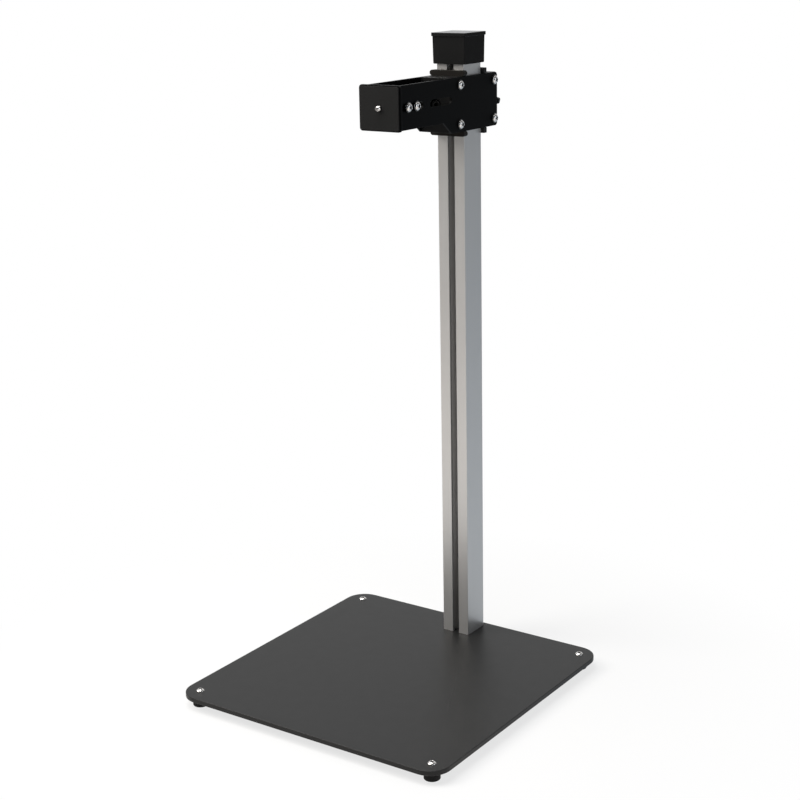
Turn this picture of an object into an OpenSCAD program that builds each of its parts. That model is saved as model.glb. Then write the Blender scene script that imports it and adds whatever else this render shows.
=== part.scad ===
// Copy stand: a slotted square column on a flat steel base, with a carriage that slides on the column
// and holds a camera bracket over the base.
// Lengths are millimetres. X runs to the right, Y to the rear and Z up.
// The origin is the centre of the base plate's top face, on which the copied sheet lies.

/* [Base plate] */
// Side of the square base plate
plate_side = 400; // [360:10:600]
// Thickness of the base plate
plate_t = 6.5; // [5:0.5:12]
// Radius of the base plate's four corners
plate_corner_r = 28; // [14:1:40]
// Width of the bevel round the base plate's top and bottom edges
plate_bevel = 0.8; // [0.2:0.1:1.5]
// Depth of the pocket in the base plate that locates the column
column_pocket = 0.4; // [0.2:0.1:2]

/* [Feet] */
// Distance of each foot's axis from the base plate's two edges
foot_inset = 21.5; // [16:0.5:40]
// Diameter of a rubber foot
foot_d = 20.2; // [18:0.1:30]
// Height of a rubber foot
foot_h = 13; // [12:0.5:30]
// Rounding of a foot's bottom edge
foot_edge_r = 1.5; // [0.5:0.1:3]
// Diameter of the steel bush in a foot
bush_d = 12; // [9:0.5:13]
// Length of the steel bush in a foot
bush_h = 8; // [5:0.5:9]

/* [Column] */
// Width of the square column
column_w = 40; // [36:0.5:60]
// Length of the column
column_h = 800; // [500:10:1200]
// Distance from the column's rear face to the base plate's rear edge
column_back_gap = 8.5; // [4:0.5:60]
// Radius of the column's outer edges
column_edge_r = 0.5; // [0.5:0.5:3]
// Width of the slot's mouth in the column's front face
slot_w = 10; // [8:0.5:12]
// Thickness of the column's wall beside the slot
lip_t = 4.5; // [3:0.5:5.5]
// Width of the solid corner between a face of the column and the undercut of its neighbour
corner_w = 10; // [9:0.5:10.5]
// Depth of the straight sides of the undercut
cavity_side = 2.6; // [2:0.1:3]
// Thickness of the wall between the slot's floor and the column's centre bore
core_wall = 4; // [3:0.1:4.8]
// Diameter of the bore along the column's centre
core_d = 6.8; // [5:0.1:7.5]
// Wall between a corner chamber and the column's faces
chamber_skin = 2.4; // [2:0.1:2.8]
// Wall between a corner chamber and the undercuts beside it
chamber_wall = 2; // [1.5:0.1:2.2]

/* [Column cap] */
// Thickness of the cap's skirt at the flange
cap_wall = 4.05; // [2.5:0.05:4.5]
// Height of the cap's skirt below the column's end
cap_skirt = 27; // [10:1:60]
// Thickness of the cap's closed top
cap_top_t = 11.5; // [5:0.1:15]
// Height of the flange round the cap's top
cap_flange_h = 4.4; // [2:0.1:4.5]
// Distance that the flange stands out from the skirt
cap_flange_out = 1.1; // [0.5:0.05:4]
// Distance by which the cap's body narrows on each side, from the flange to its lower edge
cap_taper = 0.5; // [0.1:0.1:1.2]
// Rounding of the cap's upright edges
cap_edge_r = 1.5; // [0.5:0.1:2.5]
// Size of the notch at each lower corner of the skirt
cap_notch = 2; // [1:0.5:4]

/* [Carriage] */
// Gap between the carriage at rest and the cap above it
lift_gap = 7.1; // [1:0.1:300]
// Height of the carriage's side plates
carriage_h = 68; // [66:1:100]
// Thickness of the side plates
side_t = 3; // [2:0.5:6]
// Gap between the column and each side plate
side_gap = 1.5; // [1:0.5:6]
// Length of the side plates behind the column
rear_reach = 32.9; // [32:0.1:60]
// Length of the arms in front of the column
arm_reach = 150; // [125:1:200]
// Height of the arms
arm_h = 53.5; // [46:0.5:56]
// Length of the sloped edge under the arms, measured along the arm
arm_slope = 18; // [8:1:30]
// Radius of the side plates' corners
side_corner_r = 4.5; // [2:0.5:10]
// Length of the slot near the front of each arm
front_slot_len = 46; // [38:0.5:60]
// Distance from the front slot to the arm's tip
slot_tip = 6; // [4:0.5:12]
// Height of the slots in the arms
arm_slot_h = 9.1; // [8.5:0.1:12]
// Solid length between the front slot and the empty rear slot of an arm
slot_web = 14.5; // [10:0.5:30]
// Height of the slots' centre line above the middle of the side plates
slot_rise = 7.25; // [4:0.25:8]
// Depth of the front block, from its rear face to its front face
front_block_d = 26.5; // [24:0.5:30]
// Depth of the rear block
rear_block_d = 14.8; // [13:0.1:20]
// Distance of the side screws from the ends of the blocks
screw_set = 7.4; // [7:0.1:9]
// Half the distance between a block's upper and lower side screws
screw_rise = 24.3; // [20:0.1:25]

/* [Glides] */
// Depth of the front glide
front_glide_t = 8.25; // [6:0.25:12]
// Depth of the rear glide
rear_glide_t = 6.7; // [6:0.1:10]
// Height of the flanges above and below the side plates
flange_h = 7; // [4:0.5:12]
// Distance that the front glide's flanges stand out past the side plates
front_flange_out = 1.25; // [0.5:0.05:4]
// Distance that the rear glide's flanges stand out past the side plates
rear_flange_out = 0.2; // [0.1:0.1:4]
// Gap between the column and each glide
glide_gap = 0.25; // [0.1:0.05:1]
// Thickness of the steel plate behind the rear glide
pressure_t = 3; // [2:0.5:4]

/* [Slot nut] */
// Length of the nut that runs in the column's slot
slot_nut_h = 40; // [20:1:60]
// Depth of the nut behind the slot's mouth
slot_nut_t = 5.75; // [4:0.25:6]
// Clearance round the nut in the slot
slot_nut_clear = 0.25; // [0.1:0.05:0.5]
// Depth of the counterbore for the slot nut's screw
counterbore_h = 9; // [8.5:0.5:12]

/* [Clamp] */
// Diameter of the clamp screw
clamp_d = 8; // [6:1:8]
// Distance from the rear block to the handle's hub
hub_gap = 3.3; // [1:0.1:10]
// Diameter of the handle's hub
hub_d = 16; // [14:0.5:24]
// Length of the handle's hub
hub_h = 14; // [12:0.5:20]
// Length of the handle's bar from tip to tip
bar_len = 41; // [30:1:80]
// Height of the handle's bar
bar_h = 8.1; // [5:0.1:12]
// Thickness of the handle's bar
bar_t = 5; // [4:0.5:6]
// Angle at which the handle's bar rests
bar_turn = 14; // [-180:1:180]

/* [Camera bracket] */
// Thickness of the bent bracket's sheet
sheet_t = 3; // [2:0.5:4]
// Height of the bent bracket
bracket_h = 45; // [36:1:50]
// Gap between the bracket's cheeks and the arms
cheek_gap = 0.1; // [0.05:0.05:0.5]
// Gap between the camera plate and the ends of the arms at rest
bracket_gap = 1; // [0.6:0.1:4]
// Distance of the rear bracket screws from the rear end of their slot at rest
bracket_screw_set = 15; // [4:0.5:16]
// Distance between the front and rear bracket screws
bracket_pitch = 18; // [14:0.5:20]
// Length of the cheeks behind the rear bracket screws
cheek_tail = 8; // [8:0.5:20]
// Width of the camera plate
camera_plate_w = 60; // [50:1:90]
// Height of the camera plate
camera_plate_h = 55; // [50:1:80]
// Thickness of the camera plate
camera_plate_t = 4; // [3:0.5:8]
// Thickness of the rubber pad on the camera plate
pad_t = 2; // [1:0.5:4]
// Width of the plate's rim that the pad leaves bare
pad_rim = 1.5; // [0.5:0.5:5]
// Distance that the camera screw stands out of the pad
camera_screw_out = 5; // [3:0.1:6]
// Diameter of the camera screw's knob
knob_d = 28; // [20:0.5:32]
// Length of the camera screw's knob
knob_h = 14.5; // [10:0.5:16]
// Number of flutes round the knob
knob_flutes = 12; // [6:1:18]

/* [Hidden] */

$fn = 96;
// Cuts run this far past the faces that they open
cut = 1;
// Radial clearances: a screw in its thread, a plain fit, and a screw in a drilled hole
thread_clear = 0.05;
fit_clear = 0.02;
hole_clear = 0.3;
// Right and left, as signs of X
right = 1;
left = -1;

// Standard screws, as [shank, head diameter, head height, key width]
m4 = [4, 7.6, 2.2, 2.5];
m6 = [6, 10.5, 3.3, 4];
m8 = [8, 14, 4.4, 5];
m4_countersunk = [4, 8, 2.2, 2.5];
m8_cap_head = [8, 13, 8, 6];
// Standard washers, as [bore, outer diameter, thickness]
m6_washer = [6.4, 12.5, 1.6];
column_washer_size = [8.4, 24, 2];
// Standard nut, as [width across flats, height]
m6_nut = [10, 5];
// Depth of the hexagon in a screw's head, as a share of the head's height
key_share = 0.6;
// Straight rim under the dome of a button head
head_rim = 0.6;
// Room round the head of the slot nut's screw
counterbore_margin = 1.5;
// Width of the small bevel on machined blocks
block_bevel = 0.6;
// Depth of the seat cut under each foot screw's head, and how far it runs past the head
spot_depth = 0.3;
spot_margin = 0.4;

// Column
column_y = plate_side / 2 - column_back_gap - column_w / 2;
column_front = column_y - column_w / 2;
column_bottom = -column_pocket;
column_top = column_bottom + column_h;
cavity_w = column_w - 2 * corner_w;
slot_depth = column_w / 2 - core_d / 2 - core_wall;
cavity_floor = cavity_w - 2 * (slot_depth - lip_t - cavity_side);
chamber_w = corner_w - chamber_skin - chamber_wall;
chamber_at = column_w / 2 - chamber_skin - chamber_w / 2;
chamber_r = 0.8;
// How much thinner a dowel is than the corner chamber that holds it
dowel_ease = 0.6;
dowel_d = chamber_w - dowel_ease;
dowel_up = 10;
foot_at = plate_side / 2 - foot_inset;
column_screw_up = 24;

// Cap
cap_clear = 0.15;
// Segments of a full circle in the cap's upright edges
cap_facets = 32;
cap_w = column_w + 2 * (cap_clear + cap_wall);
cap_flange_w = cap_w + 2 * cap_flange_out;

// Carriage, with depth measured to the rear from the column's front face
carriage_z = column_top - cap_skirt - lift_gap - flange_h - carriage_h / 2;
inner_x = column_w / 2 + side_gap;
outer_x = inner_x + side_t;
half_h = carriage_h / 2;
arm_bottom = half_h - arm_h;
front_glide_at = -glide_gap - front_glide_t;
front_block_at = front_glide_at - front_block_d;
rear_end = column_w + rear_reach;
rear_block_at = rear_end - rear_block_d;
front_screw_at = front_glide_at - screw_set;
rear_screw_at = rear_end - screw_set;
side_screw_len = 14;
front_slot_at = slot_tip + front_slot_len / 2 - arm_reach;
rear_slot_len = front_block_at + arm_reach - slot_tip - front_slot_len - slot_web;
rear_slot_at = front_block_at - rear_slot_len / 2;
arm_tip_r = 6;
slope_r = 3;
web_gap = 0.2;

// Slot nut
slot_nut_at = lip_t + slot_nut_clear;
slot_neck_at = 0.5;
slot_screw_end = 1;

// Rear glide and clamp
rear_glide_at = column_w + glide_gap;
pressure_at = rear_glide_at + rear_glide_t;
pressure_side_gap = 1.5;
pressure_w = 2 * (inner_x - pressure_side_gap);
pressure_h = 60;
pressure_screw_rise = 24;
pressure_screw_len = 8;
disc_d = 12;
disc_t = 2;
disc_clear = 0.2;
tip_bore = clamp_d + 2 * hole_clear;
hub_at = rear_end + hub_gap;
bar_rise = 6.8;
bar_at = hub_at + bar_rise;
pin_rise = 3;
pin_at = hub_at + pin_rise;
pin_d = 2.5;
screw_past_bar = 1.5;

// Camera bracket
bracket_screw_rear = front_slot_at + front_slot_len / 2 - bracket_screw_set;
bracket_screw_front = bracket_screw_rear - bracket_pitch;
camera_plate_at = -arm_reach - bracket_gap - camera_plate_t;
channel_at = camera_plate_at + camera_plate_t;
cheek_end = bracket_screw_rear + cheek_tail;
cheek_x = inner_x - cheek_gap;
channel_bend_r = 3;
plate_screw_x = 14;
plate_screw_z = 16;
plate_screw_len = 6.5;
washer_gap = 0.05;
camera_plate_r = 4;
pad_hole_d = 8;

// Camera screw, a quarter-inch thread
camera_screw_d = 6.35;
camera_screw_hole = 7;
neck_d = 5.6;
ring_d = 10;
ring_t = 0.8;
ring_clear = 0.1;
ring_play = 0.2;
ring_room = 0.5;
ring_mouth = 5;
ring_at = channel_at - ring_play - ring_t;
knob_gap = 0.3;
knob_at = channel_at + sheet_t + knob_gap;
knob_collar_d = 16;
knob_collar_h = 4.5;
flute_d = 5;
flute_depth = 1.1;

// Where a rounded corner of an outline meets its straight sides, and the corner circle's centre
function unit(v) = v / norm(v);
function side_in(p, i) = unit(p[(i + len(p) - 1) % len(p)] - p[i]);
function side_out(p, i) = unit(p[(i + 1) % len(p)] - p[i]);
function half_angle(p, i) = acos(side_in(p, i) * side_out(p, i)) / 2;
function corner_centre(p, i, r) =
    p[i] + unit(side_in(p, i) + side_out(p, i)) * r / sin(half_angle(p, i));
function corner_ends(p, i, r) =
    r == 0 ? [p[i]]
           : [p[i] + side_in(p, i) * r / tan(half_angle(p, i)),
              p[i] + side_out(p, i) * r / tan(half_angle(p, i))];

// An outline through the given corners, each rounded outwards by its own radius
module rounded_outline(corners, radii) {
    polygon([for (i = [0 : len(corners) - 1]) each corner_ends(corners, i, radii[i])]);
    for (i = [0 : len(corners) - 1])
        if (radii[i] > 0)
            translate(corner_centre(corners, i, radii[i]))
                circle(r = radii[i]);
}

// A rectangle about the origin with four equal round corners
module rounded_rectangle(w, d, r) {
    rounded_outline([[-w / 2, -d / 2], [w / 2, -d / 2], [w / 2, d / 2], [-w / 2, d / 2]],
                    [r, r, r, r]);
}

// A slot outline with round ends, along X
module obround(length, height) {
    square([length - height, height], center = true);
    for (end = [left, right])
        translate([end * (length - height) / 2, 0])
            circle(d = height);
}

// A thin layer that narrows upwards by its own height, for the bevel of a rounded slab
module bevel_layer(w, d, r, b) {
    for (x = [left, right], y = [-1, 1])
        translate([x * (w / 2 - r), y * (d / 2 - r), 0])
            cylinder(h = b, r1 = r, r2 = r - b);
    rotate([90, 0, 0])
        linear_extrude(d - 2 * r, center = true)
            polygon([[-w / 2, 0], [w / 2, 0], [w / 2 - b, b], [b - w / 2, b]]);
    rotate([90, 0, 90])
        linear_extrude(w - 2 * r, center = true)
            polygon([[-d / 2, 0], [d / 2, 0], [d / 2 - b, b], [b - d / 2, b]]);
}

// A flat slab standing on z = 0, with round corners and bevelled top and bottom edges
module slab(w, d, h, r, b) {
    translate([0, 0, b])
        linear_extrude(h - 2 * b)
            rounded_rectangle(w, d, r);
    translate([0, 0, h - b])
        bevel_layer(w, d, r, b);
    translate([0, 0, b])
        mirror([0, 0, 1])
            bevel_layer(w, d, r, b);
}

// A hexagon prism of a given width across its flats
module hexagon(across, h) {
    cylinder(h = h, d = across / cos(30), $fn = 6);
}

// A washer standing on z = 0
module washer(size) {
    difference() {
        cylinder(h = size[2], d = size[1]);
        translate([0, 0, -cut])
            cylinder(h = size[2] + 2 * cut, d = size[0]);
    }
}

// A domed screw with a hexagon socket: the head stands on z = 0 and the shank hangs below
module button_screw(size, length) {
    rise = size[2] - head_rim;
    dome_r = (pow(size[1] / 2, 2) + pow(rise, 2)) / (2 * rise);
    translate([0, 0, -length])
        cylinder(h = length, d = size[0]);
    difference() {
        intersection() {
            cylinder(h = size[2], d = size[1]);
            translate([0, 0, size[2] - dome_r])
                sphere(r = dome_r);
        }
        translate([0, 0, size[2] * (1 - key_share)])
            hexagon(size[3], size[2]);
    }
}

// A straight-headed screw with a hexagon socket
module cap_screw(size, length) {
    translate([0, 0, -length])
        cylinder(h = length, d = size[0]);
    difference() {
        cylinder(h = size[2], d = size[1]);
        translate([0, 0, size[2] * (1 - key_share)])
            hexagon(size[3], size[2]);
    }
}

// The space of a countersunk screw whose head is flush with z = 0
module countersunk_form(size, length, clear) {
    translate([0, 0, -size[2]])
        cylinder(h = size[2], r1 = size[0] / 2 + clear, r2 = size[1] / 2 + clear);
    translate([0, 0, -length])
        cylinder(h = length, r = size[0] / 2 + clear);
}

// A countersunk screw with a hexagon socket
module countersunk_screw(size, length) {
    difference() {
        countersunk_form(size, length, 0);
        translate([0, 0, -size[2] * key_share])
            hexagon(size[3], size[2]);
    }
}

// Places something drawn along +Z so that it points along +X or -X
module pointing_side(side) {
    rotate([0, side * 90, 0])
        children();
}

// Places something drawn along +Z so that it points to the front
module pointing_front() {
    rotate([90, 0, 0])
        children();
}

// Places something drawn along +Z so that it points to the rear
module pointing_rear() {
    rotate([-90, 0, 0])
        children();
}

// The four foot axes, at the height of the base plate's top face
module at_feet() {
    for (x = [left, right], y = [-1, 1])
        translate([x * foot_at, y * foot_at, 0])
            children();
}

// The carriage's frame: the column's front face, at mid-height of the side plates
module on_carriage() {
    translate([0, column_front, carriage_z])
        children();
}

// Steel base

module base_plate() {
    color([0.27, 0.27, 0.28])
        difference() {
            translate([0, 0, -plate_t])
                slab(plate_side, plate_side, plate_t, plate_corner_r, plate_bevel);
            at_feet() {
                translate([0, 0, -spot_depth])
                    cylinder(h = spot_depth + cut, d = m6[1] + spot_margin);
                translate([0, 0, -plate_t - cut])
                    cylinder(h = plate_t + 2 * cut, d = m6[0] + 2 * hole_clear);
            }
            translate([0, column_y, column_bottom])
                linear_extrude(column_pocket + cut)
                    rounded_rectangle(column_w + 2 * fit_clear, column_w + 2 * fit_clear,
                                      column_edge_r + fit_clear);
            translate([0, column_y, -plate_t - cut])
                cylinder(h = plate_t + 2 * cut, d = m8[0] + 2 * hole_clear);
            for (side = [left, right])
                translate([side * chamber_at, column_y + side * chamber_at, -plate_t - cut])
                    cylinder(h = plate_t + 2 * cut, d = dowel_d + 2 * fit_clear);
        }
}

module rubber_feet() {
    color([0.13, 0.13, 0.13])
        at_feet()
            translate([0, 0, -plate_t])
                difference() {
                    rotate_extrude()
                        intersection() {
                            rounded_rectangle(foot_d, 2 * foot_h, foot_edge_r);
                            translate([0, -2 * foot_h])
                                square([foot_d, 2 * foot_h]);
                        }
                    translate([0, 0, -bush_h])
                        cylinder(h = bush_h + cut, d = bush_d + 2 * fit_clear);
                }
}

module foot_bushes() {
    color([0.6, 0.6, 0.62])
        at_feet()
            translate([0, 0, -plate_t - bush_h])
                washer([m6[0] + 2 * thread_clear, bush_d, bush_h]);
}

module foot_screws() {
    color([0.85, 0.85, 0.87])
        at_feet()
            translate([0, 0, -spot_depth])
                button_screw(m6, plate_t + bush_h - 2 * spot_depth);
}

// Column

// The undercut behind one face of the column, seen from above, with the face in front
module cavity_section() {
    face = -column_w / 2;
    polygon([[-cavity_w / 2, face + lip_t], [cavity_w / 2, face + lip_t],
             [cavity_w / 2, face + lip_t + cavity_side], [cavity_floor / 2, face + slot_depth],
             [-cavity_floor / 2, face + slot_depth], [-cavity_w / 2, face + lip_t + cavity_side]]);
}

module column_section() {
    difference() {
        rounded_rectangle(column_w, column_w, column_edge_r);
        circle(d = core_d);
        for (turn = [0 : 90 : 270])
            rotate(turn) {
                cavity_section();
                translate([chamber_at, chamber_at])
                    rounded_rectangle(chamber_w, chamber_w, chamber_r);
            }
        translate([-slot_w / 2, -column_w / 2 - cut])
            square([slot_w, lip_t + 2 * cut]);
    }
}

module column() {
    color([0.62, 0.61, 0.6])
        translate([0, column_y, column_bottom])
            linear_extrude(column_h)
                column_section();
}

module column_washer() {
    color([0.75, 0.75, 0.77])
        translate([0, column_y, -plate_t - column_washer_size[2]])
            washer(column_washer_size);
}

module column_screw() {
    color([0.8, 0.8, 0.82])
        translate([0, column_y, -plate_t - column_washer_size[2]])
            rotate([180, 0, 0])
                button_screw([core_d - 2 * thread_clear, m8[1], m8[2], m8[3]],
                             plate_t + column_washer_size[2] + column_screw_up);
}

module column_dowels() {
    color([0.7, 0.7, 0.72])
        for (side = [left, right])
            translate([side * chamber_at, column_y + side * chamber_at, -plate_t])
                cylinder(h = plate_t + dowel_up, d = dowel_d);
}

module column_cap() {
    height = cap_skirt + cap_top_t;
    body_h = height - cap_flange_h / 2;
    lower_w = cap_w - 2 * cap_taper;
    socket = column_w + 2 * cap_clear;
    color([0.12, 0.12, 0.12])
        translate([0, column_y, column_top - cap_skirt])
            difference() {
                union() {
                    translate([0, 0, body_h])
                        mirror([0, 0, 1])
                            linear_extrude(body_h, scale = 1 - 2 * cap_taper / cap_w)
                                rounded_rectangle(cap_w, cap_w, cap_edge_r, $fn = cap_facets);
                    translate([0, 0, height - cap_flange_h])
                        slab(cap_flange_w, cap_flange_w, cap_flange_h, cap_edge_r, block_bevel);
                }
                translate([0, 0, -cut])
                    linear_extrude(cap_skirt + cut)
                        rounded_rectangle(socket, socket, column_edge_r);
                for (turn = [0 : 90 : 270])
                    rotate([0, 0, turn + 45])
                        translate([lower_w / sqrt(2), 0, 0])
                            rotate([0, 45, 0])
                                cube(cap_notch, center = true);
            }
}

// Carriage

module side_plate_outline() {
    difference() {
        rounded_outline([[rear_end, -half_h], [rear_end, half_h],
                         [-arm_reach, half_h], [-arm_reach, arm_bottom],
                         [front_block_at - arm_slope, arm_bottom], [front_block_at, -half_h]],
                        [side_corner_r, side_corner_r, arm_tip_r, arm_tip_r, 0, slope_r]);
        translate([rear_slot_at, slot_rise])
            obround(rear_slot_len, arm_slot_h);
        translate([front_slot_at, slot_rise])
            obround(front_slot_len, arm_slot_h);
        for (along = [front_screw_at, rear_screw_at], up = [-1, 1])
            translate([along, up * screw_rise])
                circle(d = m6[0] + 2 * hole_clear);
    }
}

module side_plate(side) {
    color([0.06, 0.06, 0.06])
        on_carriage()
            translate([side == right ? inner_x : -outer_x, 0, 0])
                rotate([90, 0, 90])
                    linear_extrude(side_t)
                        side_plate_outline();
}

// The places of the four side screws on one side, at a given distance from the middle
module at_side_screws(side, x) {
    on_carriage()
        for (along = [front_screw_at, rear_screw_at], up = [-1, 1])
            translate([side * x, along, up * screw_rise])
                pointing_side(side)
                    children();
}

module side_screws(side) {
    color([0.85, 0.85, 0.87])
        at_side_screws(side, outer_x + m6_washer[2])
            button_screw(m6, side_screw_len + side_t);
}

module side_washers(side) {
    color([0.8, 0.8, 0.82])
        at_side_screws(side, outer_x)
            washer(m6_washer);
}

// A block that fills the gap between the side plates, with threaded side holes at one depth
module cross_block(at, depth, screw_at) {
    difference() {
        translate([-inner_x, at, -half_h])
            cube([2 * inner_x, depth, carriage_h]);
        for (side = [left, right], up = [-1, 1])
            translate([side * (inner_x - side_screw_len), screw_at, up * screw_rise])
                pointing_side(side)
                    cylinder(h = side_screw_len + cut, d = m6[0] + 2 * thread_clear);
    }
}

module front_block() {
    color([0.09, 0.09, 0.09])
        on_carriage()
            difference() {
                cross_block(front_block_at, front_block_d, front_screw_at);
                translate([0, front_block_at - cut, 0])
                    pointing_rear()
                        cylinder(h = counterbore_h + cut, d = m8_cap_head[1] + 2 * counterbore_margin);
                translate([0, front_block_at, 0])
                    pointing_rear()
                        cylinder(h = front_block_d + cut, d = m8[0] + 2 * hole_clear);
            }
}

module rear_block() {
    color([0.09, 0.09, 0.09])
        on_carriage()
            difference() {
                cross_block(rear_block_at, rear_block_d, rear_screw_at);
                translate([0, rear_block_at - cut, 0])
                    pointing_rear()
                        cylinder(h = rear_block_d + 2 * cut, d = clamp_d + 2 * thread_clear);
            }
}

// The face of a glide, seen from the front: a web between the side plates and two flanges
module glide_outline(web_clear, flange_clear, flange_w, end_r) {
    square([2 * (inner_x - web_clear), carriage_h + 2 * flange_clear], center = true);
    for (up = [-1, 1])
        translate([0, up * (half_h + flange_clear + flange_h / 2)])
            rounded_rectangle(flange_w, flange_h, end_r);
}

module front_glide() {
    color([0.11, 0.11, 0.11])
        on_carriage()
            translate([0, -glide_gap, 0])
                pointing_front()
                    difference() {
                        linear_extrude(front_glide_t)
                            glide_outline(web_gap, 0, 2 * (outer_x + front_flange_out),
                                          flange_h / 2 - fit_clear);
                        translate([0, 0, -cut])
                            cylinder(h = front_glide_t + 2 * cut, d = m8[0] + 2 * hole_clear);
                    }
}

// The slot nut seen from above: a neck in the slot's mouth and a wide body behind it
module slot_nut_section() {
    half = cavity_w / 2 - slot_nut_clear;
    step = cavity_side - slot_nut_clear;
    narrow = slot_nut_t - step;
    polygon([[-half, slot_nut_at], [half, slot_nut_at], [half, slot_nut_at + step],
             [half - narrow, slot_nut_at + slot_nut_t],
             [narrow - half, slot_nut_at + slot_nut_t], [-half, slot_nut_at + step]]);
    translate([slot_nut_clear - slot_w / 2, slot_neck_at])
        square([slot_w - 2 * slot_nut_clear, slot_nut_at - slot_neck_at]);
}

module slot_nut() {
    color([0.5, 0.5, 0.52])
        on_carriage()
            difference() {
                linear_extrude(slot_nut_h, center = true)
                    slot_nut_section();
                pointing_rear()
                    cylinder(h = slot_depth + cut, d = m8[0] + 2 * thread_clear);
            }
}

module slot_nut_screw() {
    seat = front_block_at + counterbore_h;
    color([0.15, 0.15, 0.16])
        on_carriage()
            translate([0, seat, 0])
                pointing_front()
                    cap_screw(m8_cap_head, slot_nut_at + slot_nut_t - slot_screw_end - seat);
}

// Rear glide, pressed on the column by the clamp screw

module rear_glide() {
    color([0.2, 0.2, 0.2])
        on_carriage()
            difference() {
                translate([0, rear_glide_at, 0])
                    pointing_rear()
                        linear_extrude(rear_glide_t)
                            glide_outline(web_gap, web_gap, 2 * (outer_x + rear_flange_out),
                                          block_bevel);
                translate([0, pressure_at - disc_t - 2 * disc_clear, 0])
                    pointing_rear()
                        cylinder(h = disc_t + 2 * disc_clear + cut, d = disc_d + 2 * disc_clear);
                for (up = [-1, 1])
                    translate([0, pressure_at + pressure_t - pressure_screw_len, up * pressure_screw_rise])
                        pointing_rear()
                            cylinder(h = pressure_screw_len, d = m4[0] + 2 * thread_clear);
            }
}

module pressure_plate() {
    color([0.6, 0.6, 0.62])
        on_carriage()
            translate([0, pressure_at, 0])
                pointing_rear()
                    difference() {
                        linear_extrude(pressure_t)
                            rounded_rectangle(pressure_w, pressure_h, side_corner_r);
                        translate([0, 0, -cut])
                            cylinder(h = pressure_t + 2 * cut, d = tip_bore);
                        for (up = [-1, 1])
                            translate([0, up * pressure_screw_rise, -cut])
                                cylinder(h = pressure_t + 2 * cut, d = m4[0] + 2 * hole_clear);
                    }
}

module pressure_screws() {
    color([0.75, 0.75, 0.77])
        on_carriage()
            for (up = [-1, 1])
                translate([0, pressure_at + pressure_t, up * pressure_screw_rise])
                    pointing_rear()
                        button_screw(m4, pressure_screw_len);
}

module clamp_screw() {
    disc_at = pressure_at - disc_clear - disc_t;
    screw_end = bar_at + bar_t + screw_past_bar;
    color([0.7, 0.7, 0.72])
        on_carriage()
            difference() {
                translate([0, disc_at, 0])
                    pointing_rear() {
                        cylinder(h = disc_t, d = disc_d);
                        cylinder(h = screw_end - disc_at, d = clamp_d);
                    }
                rotate([0, bar_turn, 0])
                    translate([0, pin_at, -hub_d])
                        cylinder(h = 2 * hub_d, d = pin_d + 2 * fit_clear);
            }
}

module clamp_handle() {
    color([0.08, 0.08, 0.08])
        on_carriage()
            rotate([0, bar_turn, 0])
                difference() {
                    union() {
                        translate([0, hub_at, 0])
                            pointing_rear()
                                cylinder(h = hub_h, d = hub_d);
                        translate([0, bar_at, 0])
                            pointing_rear()
                                linear_extrude(bar_t)
                                    rounded_rectangle(bar_len, bar_h, block_bevel);
                    }
                    translate([0, hub_at - cut, 0])
                        pointing_rear()
                            cylinder(h = bar_at + bar_t + screw_past_bar - hub_at + cut,
                                     d = clamp_d + 2 * fit_clear);
                    translate([0, pin_at, -hub_d])
                        cylinder(h = 2 * hub_d, d = pin_d + 2 * fit_clear);
                }
}

module handle_pin() {
    color([0.7, 0.7, 0.72])
        on_carriage()
            rotate([0, bar_turn, 0])
                translate([0, pin_at, 0])
                    cylinder(h = hub_d - block_bevel, d = pin_d, center = true);
}

// Camera bracket, which slides along the arms

module bracket_channel() {
    color([0.09, 0.09, 0.09])
        on_carriage()
            difference() {
                translate([0, 0, slot_rise])
                    linear_extrude(bracket_h, center = true)
                        difference() {
                            rounded_outline([[-cheek_x, channel_at], [cheek_x, channel_at],
                                             [cheek_x, cheek_end], [-cheek_x, cheek_end]],
                                            [channel_bend_r, channel_bend_r, 0, 0]);
                            translate([sheet_t - cheek_x, channel_at + sheet_t])
                                square([2 * (cheek_x - sheet_t), arm_reach]);
                        }
                for (along = [bracket_screw_front, bracket_screw_rear])
                    translate([-inner_x, along, slot_rise])
                        pointing_side(right)
                            cylinder(h = 2 * inner_x, d = m6[0] + 2 * hole_clear);
                translate([0, channel_at + sheet_t + cut, slot_rise])
                    pointing_front()
                        cylinder(h = sheet_t + 2 * cut, d = camera_screw_hole);
                at_plate_screws()
                    translate([0, 0, -plate_screw_len - cut])
                        cylinder(h = plate_screw_len + cut, d = m4[0] + 2 * thread_clear);
            }
}

// The four screws through the camera plate, seen from its front face
module at_plate_screws() {
    for (x = [left, right], up = [-1, 1])
        translate([x * plate_screw_x, camera_plate_at, slot_rise + up * plate_screw_z])
            pointing_front()
                children();
}

module camera_plate() {
    color([0.1, 0.1, 0.1])
        on_carriage()
            difference() {
                translate([0, channel_at, slot_rise])
                    pointing_front()
                        slab(camera_plate_w, camera_plate_h, camera_plate_t,
                             camera_plate_r, block_bevel);
                translate([0, channel_at + cut, slot_rise])
                    pointing_front()
                        cylinder(h = camera_plate_t + 2 * cut, d = camera_screw_hole);
                translate([0, channel_at + cut, slot_rise])
                    pointing_front()
                        cylinder(h = ring_t + 2 * ring_play + cut, d = ring_d + 2 * ring_room);
                at_plate_screws() {
                    countersunk_form(m4_countersunk, camera_plate_t + cut, ring_clear);
                    cylinder(h = cut, r = m4_countersunk[1] / 2 + ring_clear);
                }
            }
}

module camera_plate_screws() {
    color([0.8, 0.8, 0.82])
        on_carriage()
            at_plate_screws()
                countersunk_screw(m4_countersunk, plate_screw_len);
}

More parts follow.
